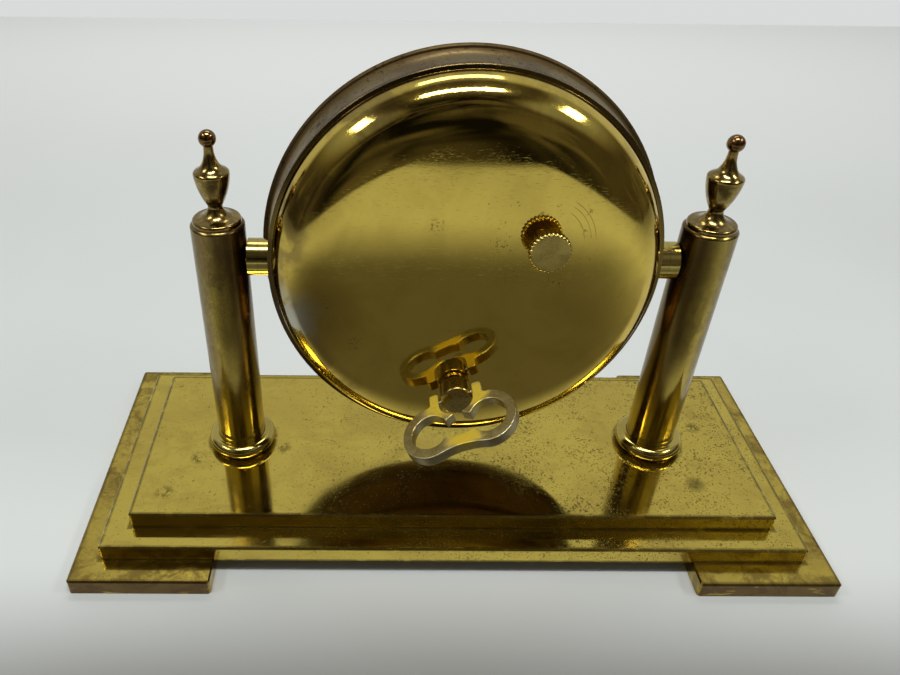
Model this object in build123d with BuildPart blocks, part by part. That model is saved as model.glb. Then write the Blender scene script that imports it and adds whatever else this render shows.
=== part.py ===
from build123d import *
import os
from math import acos, asin, atan2, cos, degrees, hypot, pi, radians, sin, sqrt

os.makedirs("parts", exist_ok=True)

# A desk clock: a round drum case hangs on trunnions between two columns on a stepped base.
# The dial faces -Y and the wound, dished back faces +Y. The origin is on the table, mid base.

# General fits
overrun = 1.0
seat_clearance = 0.05
running_clearance = 0.06

# Base: two foot bars under two stepped plates
base_depth = 86.0
foot_bar_width = 36.7
foot_thickness = 4.75
lower_step = 7.0
lower_thickness = 4.75
upper_step = 7.0
upper_thickness = 4.75
edge_break = 0.4
corner_radius = 0.9
foot_screw_radius = 1.5
foot_screw_head_radius = 3.0
foot_screw_bite = 3.2
foot_screw_edge = 25.2
foot_screw_half_spacing = 19.0
slot_width = 0.9
slot_depth = 0.8
countersink_angle = 82

# Columns with their collars and finials
column_radius = 6.58
column_above_pivot = 9.55
column_inset = 26.65
column_edge_break = 0.55
column_screw_radius = 2.0
column_screw_head_radius = 3.7
column_screw_bite = 8.0
collar_radius = 9.35
collar_height = 4.1
collar_foot_height = 0.25
collar_foot_inset = 1.25
collar_lip = 0.25
finial_flange_radius = 5.9
finial_flange_thickness = 0.45
finial_crown_radius = 5.2
finial_crown_height = 1.25
finial_round_share = 0.71
finial_flare_radius = 2.7
finial_flare_height = 2.35
finial_waist_radius = 1.75
finial_waist_height = 4.0
finial_cup_foot_height = 4.5
finial_cup_radius = 4.2
finial_cup_height = 12.1
finial_belly_share = 0.82
finial_lip_radius = 4.14
finial_lip_height = 12.8
finial_lip_bevel = 0.35
finial_shoulder_radius = 1.8
finial_shoulder_height = 15.2
finial_throat_radius = 1.2
finial_throat_height = 17.2
finial_neck_radius = 1.1
finial_neck_height = 19.0
finial_ball_radius = 2.03
finial_stud_radius = 1.6
finial_stud_length = 6.0

# Drum: its axis leans so that the dial looks slightly down
drum_lean = 6.0
under_drum_gap = 12.08
band_front = -4.6
band_back = 5.0
band_wall = 1.7
band_cove = 2.0
spigot_wall = 0.8
spigot_length = 1.2
nose_wall = 1.2
nose_length = 1.8
seat_flange_width = 6.6
seat_flange_thickness = 0.8

# Back cover, one dished pressing
cover_rim_proud = 0.57
cover_rim_height = 1.3
cover_line_depth = 0.25
cover_room = 3.1
cover_edge_radius = 9.9
cover_edge_inset = 10.67
cover_wall = 0.9
winding_hole_radius = 2.6
setting_hole_radius = 1.5

# Bezel, glass and dial
bezel_rim_proud = 0.87
bezel_rim_thickness = 1.3
bezel_rim_step = 1.27
bezel_lip_width = 1.1
bezel_height = 6.2
bezel_lip_thickness = 1.0
bezel_wall = 1.5
glass_thickness = 1.3
glass_rise = 2.6
dial_edge_gap = 0.6
dial_thickness = 0.5
dial_centre_hole_radius = 2.2

# Trunnions
trunnion_radius = 4.65
trunnion_seat_height = 1.4
trunnion_collar_length = 3.5
trunnion_washer_length = 2.6
trunnion_side_gap = 0.27
trunnion_pin_radius = 2.0
trunnion_pin_length = 6.0
trunnion_bore_spare = 0.5
trunnion_tail_radius = 1.5
trunnion_nut_radius = 2.9
trunnion_nut_thickness = 1.5

# Movement frame
plate_reach = 0.67
plate_edge_gap = 3.7
plate_thickness = 1.5
plate_gap = 10.0
pillar_radius = 1.7
pillar_inset = 2.7
pillar_angles = (28.0, 152.0, 208.0, 332.0)
pillar_pivot_radius = 0.9
pillar_nut_radius = 1.9
pillar_nut_thickness = 1.1
frame_foot_radius = 1.5
frame_foot_inset = 1.6
frame_foot_length = 2.7
frame_foot_angles = (0.0, 118.0, 242.0)
frame_screw_radius = 0.7
frame_screw_head_radius = 1.3
frame_screw_head_thickness = 0.7

# Places of the arbors, seen from behind: directions, and shares of the straight distance
winding_direction = 267.3
winding_bend_share = 0.9402
setting_direction = 31.32
setting_bend_share = 0.9909
centre_place = (0.0, 0.0)

# Gear teeth, as shares of the module or of one tooth's pitch
wheel_addendum_share = 1.1
wheel_dedendum_share = 1.25
wheel_root_share = 0.30
wheel_tip_share = 0.12
leaf_addendum_share = 0.8
leaf_dedendum_share = 1.45
leaf_root_share = 0.27
leaf_tip_share = 0.12

# Going train
barrel_teeth = 48
barrel_module = 0.58
great_pinion_leaves = 8
intermediate_teeth = 48
intermediate_module = 0.5
centre_pinion_leaves = 8
centre_teeth = 48
centre_module = 0.45
third_pinion_leaves = 6
third_teeth = 45
third_module = 0.4
fourth_pinion_leaves = 6
fourth_teeth = 48
fourth_module = 0.36
escape_pinion_leaves = 6
third_direction = 150.0
fourth_direction = 62.0
escape_direction = 8.0
wheel_thickness = 0.8
pinion_face = 1.9
arbor_radius = 0.6
pivot_radius = 0.35
pivot_hole_spare = 0.08
wheel_seat_radius = 1.0
window_count = 5
window_share = 0.62

# Depths of the wheels, as shares of the gap between the plates
barrel_share = 0.05
barrel_height_share = 0.55
intermediate_share = 0.68
centre_share = 0.85
third_share = 0.40
fourth_share = 0.16
escape_share = 0.54
balance_share = 0.33
hairspring_share = 0.75
barrel_flange_thickness = 1.2
barrel_wall_inset = 1.72
barrel_wall = 0.8

# Barrel fittings
barrel_cover_thickness = 0.6
barrel_arbor_radius = 2.2
barrel_core_radius = 3.4
mainspring_strip = 0.35
mainspring_height_share = 0.88
mainspring_turns = 5
mainspring_recess = 0.4
mainspring_core_gap = 0.6
winding_square = 2.8
winding_square_reach = 3.4
ratchet_radius = 5.6
ratchet_teeth = 24
ratchet_tooth_depth = 0.8
ratchet_thickness = 0.9
click_gap = 1.6
click_length = 6.0
click_width = 1.5
click_thickness = 0.9
click_direction = 62.0
click_screw_radius = 0.8
click_screw_head_radius = 1.5
click_screw_head_thickness = 0.5
click_spring_strip = 0.3
click_beak_lead = 1.0
click_beak_gap = 0.15

# Escapement
escape_teeth = 15
escape_tip_radius = 4.4
escape_root_radius = 3.3
escape_thickness = 0.5
escape_hook_share = 0.12
escape_foot_share = 0.55
pallet_rise = 1.3
pallet_direction = 60.0
pallet_spread = 38.0
pallet_gap = 0.3
pallet_width = 0.7
pallet_nib = 0.5
lever_length = 8.1
lever_width = 0.9
lever_thickness = 0.5
fork_width = 2.4
fork_gap = 1.2
fork_depth = 1.0
balance_beyond_lever = 1.4
balance_direction = 8.0
balance_radius = 7.9
balance_rim = 1.1
balance_thickness = 1.0
balance_spoke = 1.0
balance_spokes = 3
balance_hub_radius = 1.5
roller_radius = 1.7
roller_thickness = 0.6
roller_pin_radius = 0.2
roller_pin_reach = 1.35
roller_gap = 0.1
hairspring_strip = 0.22
hairspring_height = 0.6
hairspring_turns = 4
hairspring_outer_radius = 5.2
hairspring_inner_radius = 1.7
stud_size = 0.8

# Motion work and hands
cannon_leaves = 12
minute_teeth = 36
motion_module = 0.4
minute_pinion_leaves = 10
hour_teeth = 40
setting_leaves = 15
motion_gap = 0.4
motion_thickness = 0.6
hour_wheel_gap = 2.6
cannon_bore_radius = 0.66
cannon_pipe_radius = 1.05
hour_pipe_radius = 1.7
minute_post_radius = 0.8
setting_arbor_radius = 1.1
hour_hand_gap = 1.2
minute_hand_gap = 2.1
hand_thickness = 0.35
hour_hand_length = 24.0
minute_hand_length = 35.0
hand_hub_radius = 2.6
hand_tip_width = 0.5
hour_hand_width = 3.6
minute_hand_width = 2.6
hand_tail = 6.0
leaf_place_share = 0.68
shown_hour = 10
shown_minute = 10

# Setting knob
knob_radius = 4.75
knob_thickness = 2.3
knob_reach = 6.0
knob_stem_radius = 1.9
knob_teeth = 30
knob_groove = 0.28
knob_gap = 0.35

# Winding key with its folding bow
key_hub_radius = 3.86
key_neck_radius = 3.05
key_neck_height = 1.2
key_gap = 0.35
key_reach = 6.93
key_edge_break = 0.35
key_angle = 24.4
key_pivot_height = 5.05
key_pin_radius = 0.5
key_square_depth = 3.6
bow_thickness = 2.5
bow_horn_gap = 0.44
bow_horn_width = 2.3
bow_horn_tip = 1.9
bow_lobe_spread = 7.12
bow_lobe_height = 15.7
bow_lobe_radius = 6.75
bow_lobe_stretch = 8.33
bow_hole_radius = 4.44
bow_hole_stretch = 5.34
bow_recess_height = 7.6
bow_tab_foot = 11.7
bow_tab_height = 13.8
bow_tab_gap = 1.5
bow_bar_width = 3.35
bow_bump_half_width = 3.5
bow_bump_dip = 0.75
bow_waist_angle = 16.7
bow_lean = 6.1
bow_turn = 2.9
bow_horn_round = 0.7
bow_root_round = 1.0
bow_bump_round = 0.8

# Worked-out distances between the arbors of the train
great_distance = barrel_module * (barrel_teeth + great_pinion_leaves) / 2
intermediate_distance = intermediate_module * (intermediate_teeth + centre_pinion_leaves) / 2
third_distance = centre_module * (centre_teeth + third_pinion_leaves) / 2
fourth_distance = third_module * (third_teeth + fourth_pinion_leaves) / 2
escape_distance = fourth_module * (fourth_teeth + escape_pinion_leaves) / 2
pallet_distance = escape_tip_radius + pallet_rise
balance_distance = lever_length + balance_beyond_lever
motion_distance = motion_module * (cannon_leaves + minute_teeth) / 2
setting_distance = motion_module * (minute_teeth + setting_leaves) / 2
hour_module = 2 * motion_distance / (minute_pinion_leaves + hour_teeth)
winding_distance = (great_distance + intermediate_distance) * winding_bend_share
knob_distance = (motion_distance + setting_distance) * setting_bend_share

# Worked-out radii: the barrel sets the plates, the plates set the case
barrel_wall_radius = barrel_module * barrel_teeth / 2 - barrel_wall_inset
plate_radius = winding_distance + barrel_wall_radius + plate_reach
pillar_circle_radius = plate_radius - pillar_inset
frame_foot_circle_radius = plate_radius - frame_foot_inset
band_inner_radius = plate_radius + plate_edge_gap
band_groove_radius = band_inner_radius + band_wall
band_front_radius = band_groove_radius + band_cove
spigot_radius = band_inner_radius + spigot_wall
nose_radius = band_inner_radius + nose_wall
seat_flange_inner_radius = band_inner_radius - seat_flange_width
cover_rim_radius = band_groove_radius + cover_rim_proud
cover_edge_centre_radius = cover_rim_radius - cover_edge_inset
bezel_rim_radius = band_front_radius + bezel_rim_proud
bezel_shoulder_radius = bezel_rim_radius - bezel_rim_step
glass_radius = nose_radius - bezel_wall
bezel_lip_radius = glass_radius - bezel_lip_width
dial_radius = nose_radius - dial_edge_gap
trunnion_seat = band_inner_radius + trunnion_seat_height
trunnion_face = trunnion_seat + trunnion_collar_length

# Worked-out depths, measured back from the pivot line of the drum
seat_flange_front = band_front - nose_length
flange_back = seat_flange_front + seat_flange_thickness
front_plate_front = flange_back + frame_foot_length
front_plate_back = front_plate_front + plate_thickness
back_plate_front = front_plate_back + plate_gap
back_plate_back = back_plate_front + plate_thickness
cover_inner = back_plate_back + cover_room
cover_back = cover_inner + cover_wall
bezel_front = seat_flange_front - bezel_height
dial_back = seat_flange_front
dial_front = dial_back - dial_thickness
motion_back = front_plate_front - motion_gap
hour_depth = front_plate_front - hour_wheel_gap
hour_hand_depth = dial_front - hour_hand_gap
minute_hand_depth = dial_front - minute_hand_gap
barrel_bottom = front_plate_back + plate_gap * barrel_share
barrel_height = plate_gap * barrel_height_share
intermediate_depth = front_plate_back + plate_gap * intermediate_share
centre_depth = front_plate_back + plate_gap * centre_share
third_depth = front_plate_back + plate_gap * third_share
fourth_depth = front_plate_back + plate_gap * fourth_share
escape_depth = front_plate_back + plate_gap * escape_share
balance_depth = front_plate_back + plate_gap * balance_share
hairspring_depth = front_plate_back + plate_gap * hairspring_share

# Worked-out sizes of the base and columns, which follow the drum
half_spacing = trunnion_face + trunnion_washer_length + trunnion_side_gap + column_radius
upper_width = 2 * (half_spacing + column_inset)
lower_width = upper_width + 2 * upper_step
base_width = lower_width + 2 * lower_step
foot_centre = (base_width - foot_bar_width) / 2
lower_depth = base_depth - 2 * lower_step
upper_depth = lower_depth - 2 * upper_step
lower_top = foot_thickness + lower_thickness
base_top = lower_top + upper_thickness
pivot_height = base_top + under_drum_gap + bezel_rim_radius
column_height = pivot_height - base_top + column_above_pivot
column_top = base_top + column_height
foot_screw_place = base_width / 2 - foot_screw_edge
screw_tip = lower_top + foot_screw_bite

# The drum's own directions
drum = Plane(
    origin=(0, 0, pivot_height),
    x_dir=(-1, 0, 0),
    z_dir=(0, cos(radians(drum_lean)), sin(radians(drum_lean))),
)


def at(depth, place=(0, 0), angle=0):
    """A plane square to the drum's axis, at a depth behind the pivot line."""
    origin = drum.from_local_coords((place[0], place[1], depth))
    x_dir = drum.x_dir * cos(radians(angle)) + drum.y_dir * sin(radians(angle))
    return Plane(origin=origin, x_dir=x_dir, z_dir=drum.z_dir)


def turning_plane(place=(0, 0)):
    """A plane for a turned profile: local X is the radius, local Y the depth."""
    origin = drum.from_local_coords((place[0], place[1], 0))
    return Plane(origin=origin, x_dir=drum.x_dir, z_dir=drum.x_dir.cross(drum.z_dir))


def turning_axis(place=(0, 0)):
    return Axis(drum.from_local_coords((place[0], place[1], 0)), drum.z_dir)


def save(piece, label):
    piece.part.label = label
    export_step(piece.part, f"parts/{label}.step")


def turn_profile(place, outline):
    """Turn a closed outline of (radius, depth) points, inside the current part."""
    with BuildSketch(turning_plane(place)) as profile:
        with BuildLine():
            Polyline(*outline, close=True)
        make_face()
    revolve(profile.sketch, axis=turning_axis(place))


def stepped(steps):
    """The outline of an arbor from its steps of (radius, start depth, end depth)."""
    points = [(0, steps[0][1])]
    for radius, start, end in steps:
        points += [(radius, start), (radius, end)]
    return points + [(0, steps[-1][2])]


def tooth_points(teeth, module, phase, shares):
    """The outline of a toothed wheel, four points to a tooth."""
    addendum, dedendum, root, tip = shares
    pitch_radius = teeth * module / 2
    pitch_angle = 2 * pi / teeth
    points = []
    for tooth in range(teeth):
        middle = phase + tooth * pitch_angle
        for share, radius in (
            (-root, pitch_radius - dedendum * module),
            (-tip, pitch_radius + addendum * module),
            (tip, pitch_radius + addendum * module),
            (root, pitch_radius - dedendum * module),
        ):
            angle = middle + share * pitch_angle
            points.append((radius * cos(angle), radius * sin(angle)))
    return points


wheel_shares = (wheel_addendum_share, wheel_dedendum_share, wheel_root_share, wheel_tip_share)
leaf_shares = (leaf_addendum_share, leaf_dedendum_share, leaf_root_share, leaf_tip_share)


def toothed_disc(depth, place, teeth, module, phase, thickness, shares=wheel_shares):
    with BuildSketch(at(depth, place)) as profile:
        with BuildLine():
            Polyline(*tooth_points(teeth, module, phase, shares), close=True)
        make_face()
    extrude(profile.sketch, amount=thickness)


def polar(origin, distance, degrees_round):
    angle = radians(degrees_round)
    return (origin[0] + distance * cos(angle), origin[1] + distance * sin(angle))


def meshed_phase(place_a, teeth_a, phase_a, place_b, teeth_b):
    """The phase that puts a gap of wheel b over the tooth of wheel a that faces it."""
    facing = atan2(place_b[1] - place_a[1], place_b[0] - place_a[0])
    pitch_a = 2 * pi / teeth_a
    lead = (phase_a - facing + pitch_a / 2) % pitch_a - pitch_a / 2
    return facing + pi + pi / teeth_b - lead * teeth_a / teeth_b


def third_corner(place_a, place_b, reach_a, reach_b, side):
    """The point at two given distances from two places, on one side of their line."""
    across = hypot(place_b[0] - place_a[0], place_b[1] - place_a[1])
    along = (reach_a**2 - reach_b**2 + across**2) / (2 * across)
    aside = side * sqrt(reach_a**2 - along**2)
    ux, uy = (place_b[0] - place_a[0]) / across, (place_b[1] - place_a[1]) / across
    return (place_a[0] + along * ux - aside * uy, place_a[1] + along * uy + aside * ux)


# Places of the train's arbors
winding_place = polar(centre_place, winding_distance, winding_direction)
setting_place = polar(centre_place, knob_distance, setting_direction)
intermediate_place = third_corner(
    winding_place, centre_place, great_distance, intermediate_distance, -1
)
third_place = polar(centre_place, third_distance, third_direction)
fourth_place = polar(third_place, fourth_distance, fourth_direction)
escape_place = polar(fourth_place, escape_distance, escape_direction)
pallet_place = polar(escape_place, pallet_distance, pallet_direction)
balance_place = polar(pallet_place, balance_distance, balance_direction)
minute_place = third_corner(centre_place, setting_place, motion_distance, setting_distance, 1)

# Foot bars, lower plate and upper plate
screw_places = [
    (sx * foot_screw_place, sy * foot_screw_half_spacing) for sx in (-1, 1) for sy in (-1, 1)
]


def through_holes(places, bottom, radius, head_radius, depth):
    """Clearance holes from below, countersunk where a head is let in."""
    for x, y in places:
        with Locations(Plane(origin=(x, y, bottom), x_dir=(1, 0, 0), z_dir=(0, 0, -1))):
            if head_radius:
                CounterSinkHole(radius, head_radius, depth, countersink_angle)
            else:
                Hole(radius, depth)


for side, sign in (("left", -1), ("right", 1)):
    with BuildPart() as foot:
        with BuildSketch(Plane(origin=(sign * foot_centre, 0, 0))):
            RectangleRounded(foot_bar_width, base_depth, corner_radius)
        extrude(amount=foot_thickness)
        chamfer(foot.edges().group_by(Axis.Z)[-1], edge_break)
        through_holes(
            [p for p in screw_places if p[0] * sign > 0],
            0,
            foot_screw_radius + seat_clearance,
            foot_screw_head_radius + seat_clearance,
            foot_thickness,
        )
    save(foot, f"foot_{side}")

column_places = [(-half_spacing, 0), (half_spacing, 0)]

with BuildPart() as lower_plate:
    with BuildSketch(Plane.XY.offset(foot_thickness)):
        RectangleRounded(lower_width, lower_depth, corner_radius)
    extrude(amount=lower_thickness)
    chamfer(lower_plate.edges().group_by(Axis.Z)[-1], edge_break)
    through_holes(
        screw_places, foot_thickness, foot_screw_radius + seat_clearance, 0, lower_thickness
    )
    through_holes(
        column_places,
        foot_thickness,
        column_screw_radius + seat_clearance,
        column_screw_head_radius + seat_clearance,
        lower_thickness,
    )
save(lower_plate, "lower_plate")

with BuildPart() as upper_plate:
    with BuildSketch(Plane.XY.offset(lower_top)):
        RectangleRounded(upper_width, upper_depth, corner_radius)
    extrude(amount=upper_thickness)
    chamfer(upper_plate.edges().group_by(Axis.Z)[-1], edge_break)
    through_holes(
        screw_places, lower_top, foot_screw_radius + seat_clearance, 0, foot_screw_bite
    )
    through_holes(
        column_places, lower_top, column_screw_radius + seat_clearance, 0, upper_thickness
    )
save(upper_plate, "upper_plate")


def countersunk_screws(places, bottom, tip, radius, head_radius):
    """Slotted countersunk screws, heads flush with a bottom face."""
    head_depth = (head_radius - radius) / sin(radians(countersink_angle / 2))
    head_depth *= cos(radians(countersink_angle / 2))
    for x, y in places:
        with BuildSketch(Plane(origin=(x, y, 0), x_dir=(1, 0, 0), z_dir=(0, -1, 0))) as profile:
            with BuildLine():
                Polyline(
                    (0, bottom),
                    (head_radius, bottom),
                    (radius, bottom + head_depth),
                    (radius, tip),
                    (0, tip),
                    close=True,
                )
            make_face()
        revolve(profile.sketch, axis=Axis((x, y, 0), (0, 0, 1)))
        with BuildSketch(Plane(origin=(x, y, bottom))) as slot:
            Rectangle(2 * head_radius + overrun, slot_width)
        extrude(slot.sketch, amount=slot_depth, mode=Mode.SUBTRACT)


with BuildPart() as foot_screws:
    countersunk_screws(
        screw_places, 0, screw_tip, foot_screw_radius, foot_screw_head_radius
    )
save(foot_screws, "foot_screws")

with BuildPart() as column_screws:
    countersunk_screws(
        column_places,
        foot_thickness,
        base_top + column_screw_bite,
        column_screw_radius,
        column_screw_head_radius,
    )
save(column_screws, "column_screws")

# Columns, collars and finials
trunnion_tip = half_spacing - column_radius + trunnion_pin_length

for side, sign in (("left", -1), ("right", 1)):
    centre = sign * half_spacing
    with BuildPart() as column:
        with BuildSketch(Plane(origin=(centre, 0, base_top))):
            Circle(column_radius)
        extrude(amount=column_height)
        chamfer(column.edges().group_by(Axis.Z)[-1], column_edge_break)
        with Locations(Plane(origin=(centre, 0, column_top))):
            Hole(finial_stud_radius + seat_clearance, finial_stud_length + seat_clearance)
        with Locations(Plane(origin=(centre, 0, base_top), x_dir=(1, 0, 0), z_dir=(0, 0, -1))):
            Hole(column_screw_radius + seat_clearance, column_screw_bite + seat_clearance)
        with BuildSketch(Plane(origin=(0, 0, pivot_height), x_dir=(0, 1, 0), z_dir=(sign, 0, 0))):
            Circle(trunnion_pin_radius + running_clearance)
        extrude(amount=trunnion_tip + trunnion_bore_spare, mode=Mode.SUBTRACT)
    save(column, f"column_{side}")

    upright = Plane(origin=(centre, 0, base_top), x_dir=(1, 0, 0), z_dir=(0, -1, 0))
    upright_axis = Axis((centre, 0, 0), (0, 0, 1))
    bore = column_radius + seat_clearance
    foot_radius = collar_radius - collar_foot_inset
    with BuildPart() as collar:
        with BuildSketch(upright):
            with BuildLine():
                base_line = Polyline(
                    (bore, collar_height),
                    (bore, 0),
                    (foot_radius, 0),
                    (foot_radius, collar_foot_height),
                )
                bead = ThreePointArc(
                    base_line @ 1,
                    (collar_radius, (collar_foot_height + collar_height) / 2),
                    (bore + 2 * collar_lip, collar_height - collar_lip / 2),
                )
                Line(bead @ 1, base_line @ 0)
            make_face()
        revolve(axis=upright_axis)
    save(collar, f"collar_{side}")

    ball_centre = finial_neck_height + sqrt(finial_ball_radius**2 - finial_neck_radius**2)
    with BuildPart() as finial:
        with BuildSketch(Plane(origin=(centre, 0, column_top), x_dir=(1, 0, 0), z_dir=(0, -1, 0))):
            with BuildLine():
                foot_line = Polyline(
                    (0, ball_centre + finial_ball_radius),
                    (0, -finial_stud_length),
                    (finial_stud_radius, -finial_stud_length),
                    (finial_stud_radius, 0),
                    (finial_flange_radius, 0),
                    (finial_flange_radius, finial_flange_thickness),
                )
                edge_round = ThreePointArc(
                    foot_line @ 1,
                    (
                        finial_crown_radius
                        + (finial_flange_radius - finial_crown_radius) * finial_round_share,
                        finial_flange_thickness
                        + (finial_crown_height - finial_flange_thickness) * finial_round_share,
                    ),
                    (finial_crown_radius, finial_crown_height),
                )
                flare = ThreePointArc(
                    edge_round @ 1,
                    (finial_flare_radius, finial_flare_height),
                    (finial_waist_radius, finial_waist_height),
                )
                stem = Line(flare @ 1, (finial_waist_radius, finial_cup_foot_height))
                cup = ThreePointArc(
                    stem @ 1,
                    (
                        finial_cup_radius * finial_belly_share,
                        (finial_cup_foot_height + finial_cup_height) / 2,
                    ),
                    (finial_cup_radius, finial_cup_height),
                )
                lip = Polyline(
                    cup @ 1,
                    (finial_lip_radius, finial_lip_height),
                    (finial_lip_radius - finial_lip_bevel, finial_lip_height + finial_lip_bevel),
                )
                shoulder = Spline(
                    lip @ 1,
                    (finial_shoulder_radius, finial_shoulder_height),
                    (finial_throat_radius, finial_throat_height),
                    (finial_neck_radius, finial_neck_height),
                    tangents=((-1, 1 / 2), (0, 1)),
                )
                ThreePointArc(
                    shoulder @ 1, (finial_ball_radius, ball_centre), foot_line @ 0
                )
            make_face()
        revolve(axis=upright_axis)
    save(finial, f"finial_{side}")

# Drum shell: band, cover, bezel, glass and dial
with BuildPart() as case_band:
    with BuildSketch(turning_plane()):
        with BuildLine():
            inner_line = Polyline(
                (spigot_radius, band_back),
                (spigot_radius, band_back + spigot_length),
                (band_inner_radius, band_back + spigot_length),
                (band_inner_radius, flange_back),
                (seat_flange_inner_radius, flange_back),
                (seat_flange_inner_radius, seat_flange_front),
                (nose_radius, seat_flange_front),
                (nose_radius, band_front),
                (band_front_radius, band_front),
            )
            groove = ThreePointArc(
                inner_line @ 1,
                (
                    (band_groove_radius + band_front_radius) / 2 - edge_break,
                    band_front + (band_back - band_front) / 3,
                ),
                (band_groove_radius, band_back),
            )
            Line(groove @ 1, inner_line @ 0)
        make_face()
    revolve(axis=turning_axis())
    for sign in (-1, 1):
        flank = Plane(origin=(0, 0, pivot_height), x_dir=(0, 1, 0), z_dir=(sign, 0, 0))
        with BuildSketch(flank.offset(trunnion_seat)):
            Circle(trunnion_radius + seat_clearance)
        extrude(amount=trunnion_radius, mode=Mode.SUBTRACT)
        with BuildSketch(flank.offset(trunnion_seat - trunnion_radius)):
            Circle(trunnion_tail_radius + seat_clearance)
        extrude(amount=trunnion_radius + overrun, mode=Mode.SUBTRACT)
    for angle in frame_foot_angles:
        with Locations(at(flange_back, polar((0, 0), frame_foot_circle_radius, angle))):
            Hole(frame_screw_radius + seat_clearance, seat_flange_thickness)
save(case_band, "case_band")

edge_centre = cover_back - cover_edge_radius
rim_top = band_back + cover_rim_height


def cover_arc(radius, start_depth):
    """The rounded edge of the pressing from the flat back down to a depth."""
    low = degrees(asin((start_depth - edge_centre) / radius))
    sweep = degrees(acos((start_depth - edge_centre) / radius))
    return CenterArc((cover_edge_centre_radius, edge_centre), radius, low, sweep)


with BuildPart() as back_cover:
    with BuildSketch(turning_plane()):
        with BuildLine():
            outer_edge = cover_arc(cover_edge_radius, rim_top)
            inner_edge = cover_arc(cover_edge_radius - cover_wall, rim_top)
            rim_bore = spigot_radius + seat_clearance
            middle = band_back + cover_rim_height / 2
            Polyline(
                outer_edge @ 0,
                (cover_rim_radius, rim_top),
                (cover_rim_radius, middle + cover_line_depth),
                (cover_rim_radius - cover_line_depth, middle),
                (cover_rim_radius, middle - cover_line_depth),
                (cover_rim_radius, band_back),
                (rim_bore, band_back),
                (rim_bore, rim_top),
            )
            Line((rim_bore, rim_top), inner_edge @ 0)
            Polyline(inner_edge @ 1, (0, cover_inner), (0, cover_back), outer_edge @ 1)
        make_face()
    revolve(axis=turning_axis())
    for place, radius in (
        (winding_place, winding_hole_radius),
        (setting_place, setting_hole_radius),
    ):
        with BuildSketch(at(cover_inner - overrun, place)):
            Circle(radius)
        extrude(amount=cover_wall + 2 * overrun, mode=Mode.SUBTRACT)
save(back_cover, "back_cover")

glass_seat = bezel_front + bezel_lip_thickness
dome_radius = bezel_lip_radius - seat_clearance
dome_sphere = (dome_radius**2 + glass_rise**2) / (2 * glass_rise)
dome_half_angle = degrees(asin(dome_radius / dome_sphere))
with BuildPart() as bezel:
    with BuildSketch(turning_plane()):
        with BuildLine():
            nose_bore = nose_radius + seat_clearance
            rim_front = band_front - bezel_rim_thickness
            inside = Polyline(
                (bezel_lip_radius, bezel_front),
                (bezel_lip_radius, glass_seat),
                (glass_radius + seat_clearance, glass_seat),
                (glass_radius + seat_clearance, glass_seat + glass_thickness + bezel_lip_thickness),
                (nose_bore, dial_front - seat_clearance - dial_thickness),
                (nose_bore, band_front),
                (bezel_rim_radius - edge_break, band_front),
                (bezel_rim_radius, band_front - edge_break),
                (bezel_rim_radius, rim_front),
                (bezel_shoulder_radius, rim_front - edge_break),
            )
            crown = ThreePointArc(
                inside @ 1,
                (
                    (bezel_shoulder_radius + bezel_lip_radius) / 2 + bezel_lip_thickness,
                    (rim_front + 3 * bezel_front) / 4,
                ),
                inside @ 0,
            )
        make_face()
    revolve(axis=turning_axis())
save(bezel, "bezel")

with BuildPart() as glass:
    with BuildSketch(turning_plane()):
        with BuildLine():
            rear = glass_seat + glass_thickness
            Polyline(
                (dome_radius, glass_seat),
                (glass_radius, glass_seat),
                (glass_radius, rear),
                (dome_radius, rear),
            )
            inner_centre = rear - glass_rise + dome_sphere
            outer_centre = glass_seat - glass_rise + dome_sphere
            dome_inner = CenterArc((0, inner_centre), dome_sphere, -90, dome_half_angle)
            dome_outer = CenterArc((0, outer_centre), dome_sphere, -90, dome_half_angle)
            Line(dome_inner @ 0, dome_outer @ 0)
        make_face()
    revolve(axis=turning_axis())
save(glass, "glass")

with BuildPart() as dial:
    with BuildSketch(at(dial_front)):
        Circle(dial_radius)
        Circle(dial_centre_hole_radius, mode=Mode.SUBTRACT)
    extrude(amount=dial_thickness)
save(dial, "dial")

# Trunnions with their washers and nuts
for side, sign in (("left", -1), ("right", 1)):
    flank = Plane(origin=(0, 0, pivot_height), x_dir=(0, 1, 0), z_dir=(sign, 0, 0))
    tail_start = band_inner_radius - trunnion_nut_thickness - overrun / 2
    with BuildPart() as trunnion:
        for start, end, radius in (
            (tail_start, trunnion_seat, trunnion_tail_radius),
            (trunnion_seat, trunnion_face, trunnion_radius),
            (trunnion_face, trunnion_tip, trunnion_pin_radius),
        ):
            with BuildSketch(flank.offset(start)):
                Circle(radius)
            extrude(amount=end - start)
    save(trunnion, f"trunnion_{side}")

with BuildPart() as trunnion_washers:
    for sign in (-1, 1):
        flank = Plane(origin=(0, 0, pivot_height), x_dir=(0, 1, 0), z_dir=(sign, 0, 0))
        with BuildSketch(flank.offset(trunnion_face + seat_clearance)):
            Circle(trunnion_radius)
            Circle(trunnion_pin_radius + seat_clearance, mode=Mode.SUBTRACT)
        extrude(amount=trunnion_washer_length)
save(trunnion_washers, "trunnion_washers")

nut_sagitta = band_inner_radius - sqrt(band_inner_radius**2 - trunnion_nut_radius**2)
with BuildPart() as trunnion_nuts:
    for sign in (-1, 1):
        flank = Plane(origin=(0, 0, pivot_height), x_dir=(0, 1, 0), z_dir=(sign, 0, 0))
        nut_start = band_inner_radius - nut_sagitta - trunnion_nut_thickness
        with BuildSketch(flank.offset(nut_start)):
            RegularPolygon(trunnion_nut_radius, 6)
            Circle(trunnion_tail_radius + seat_clearance, mode=Mode.SUBTRACT)
        extrude(amount=trunnion_nut_thickness)
save(trunnion_nuts, "trunnion_nuts")

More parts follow.
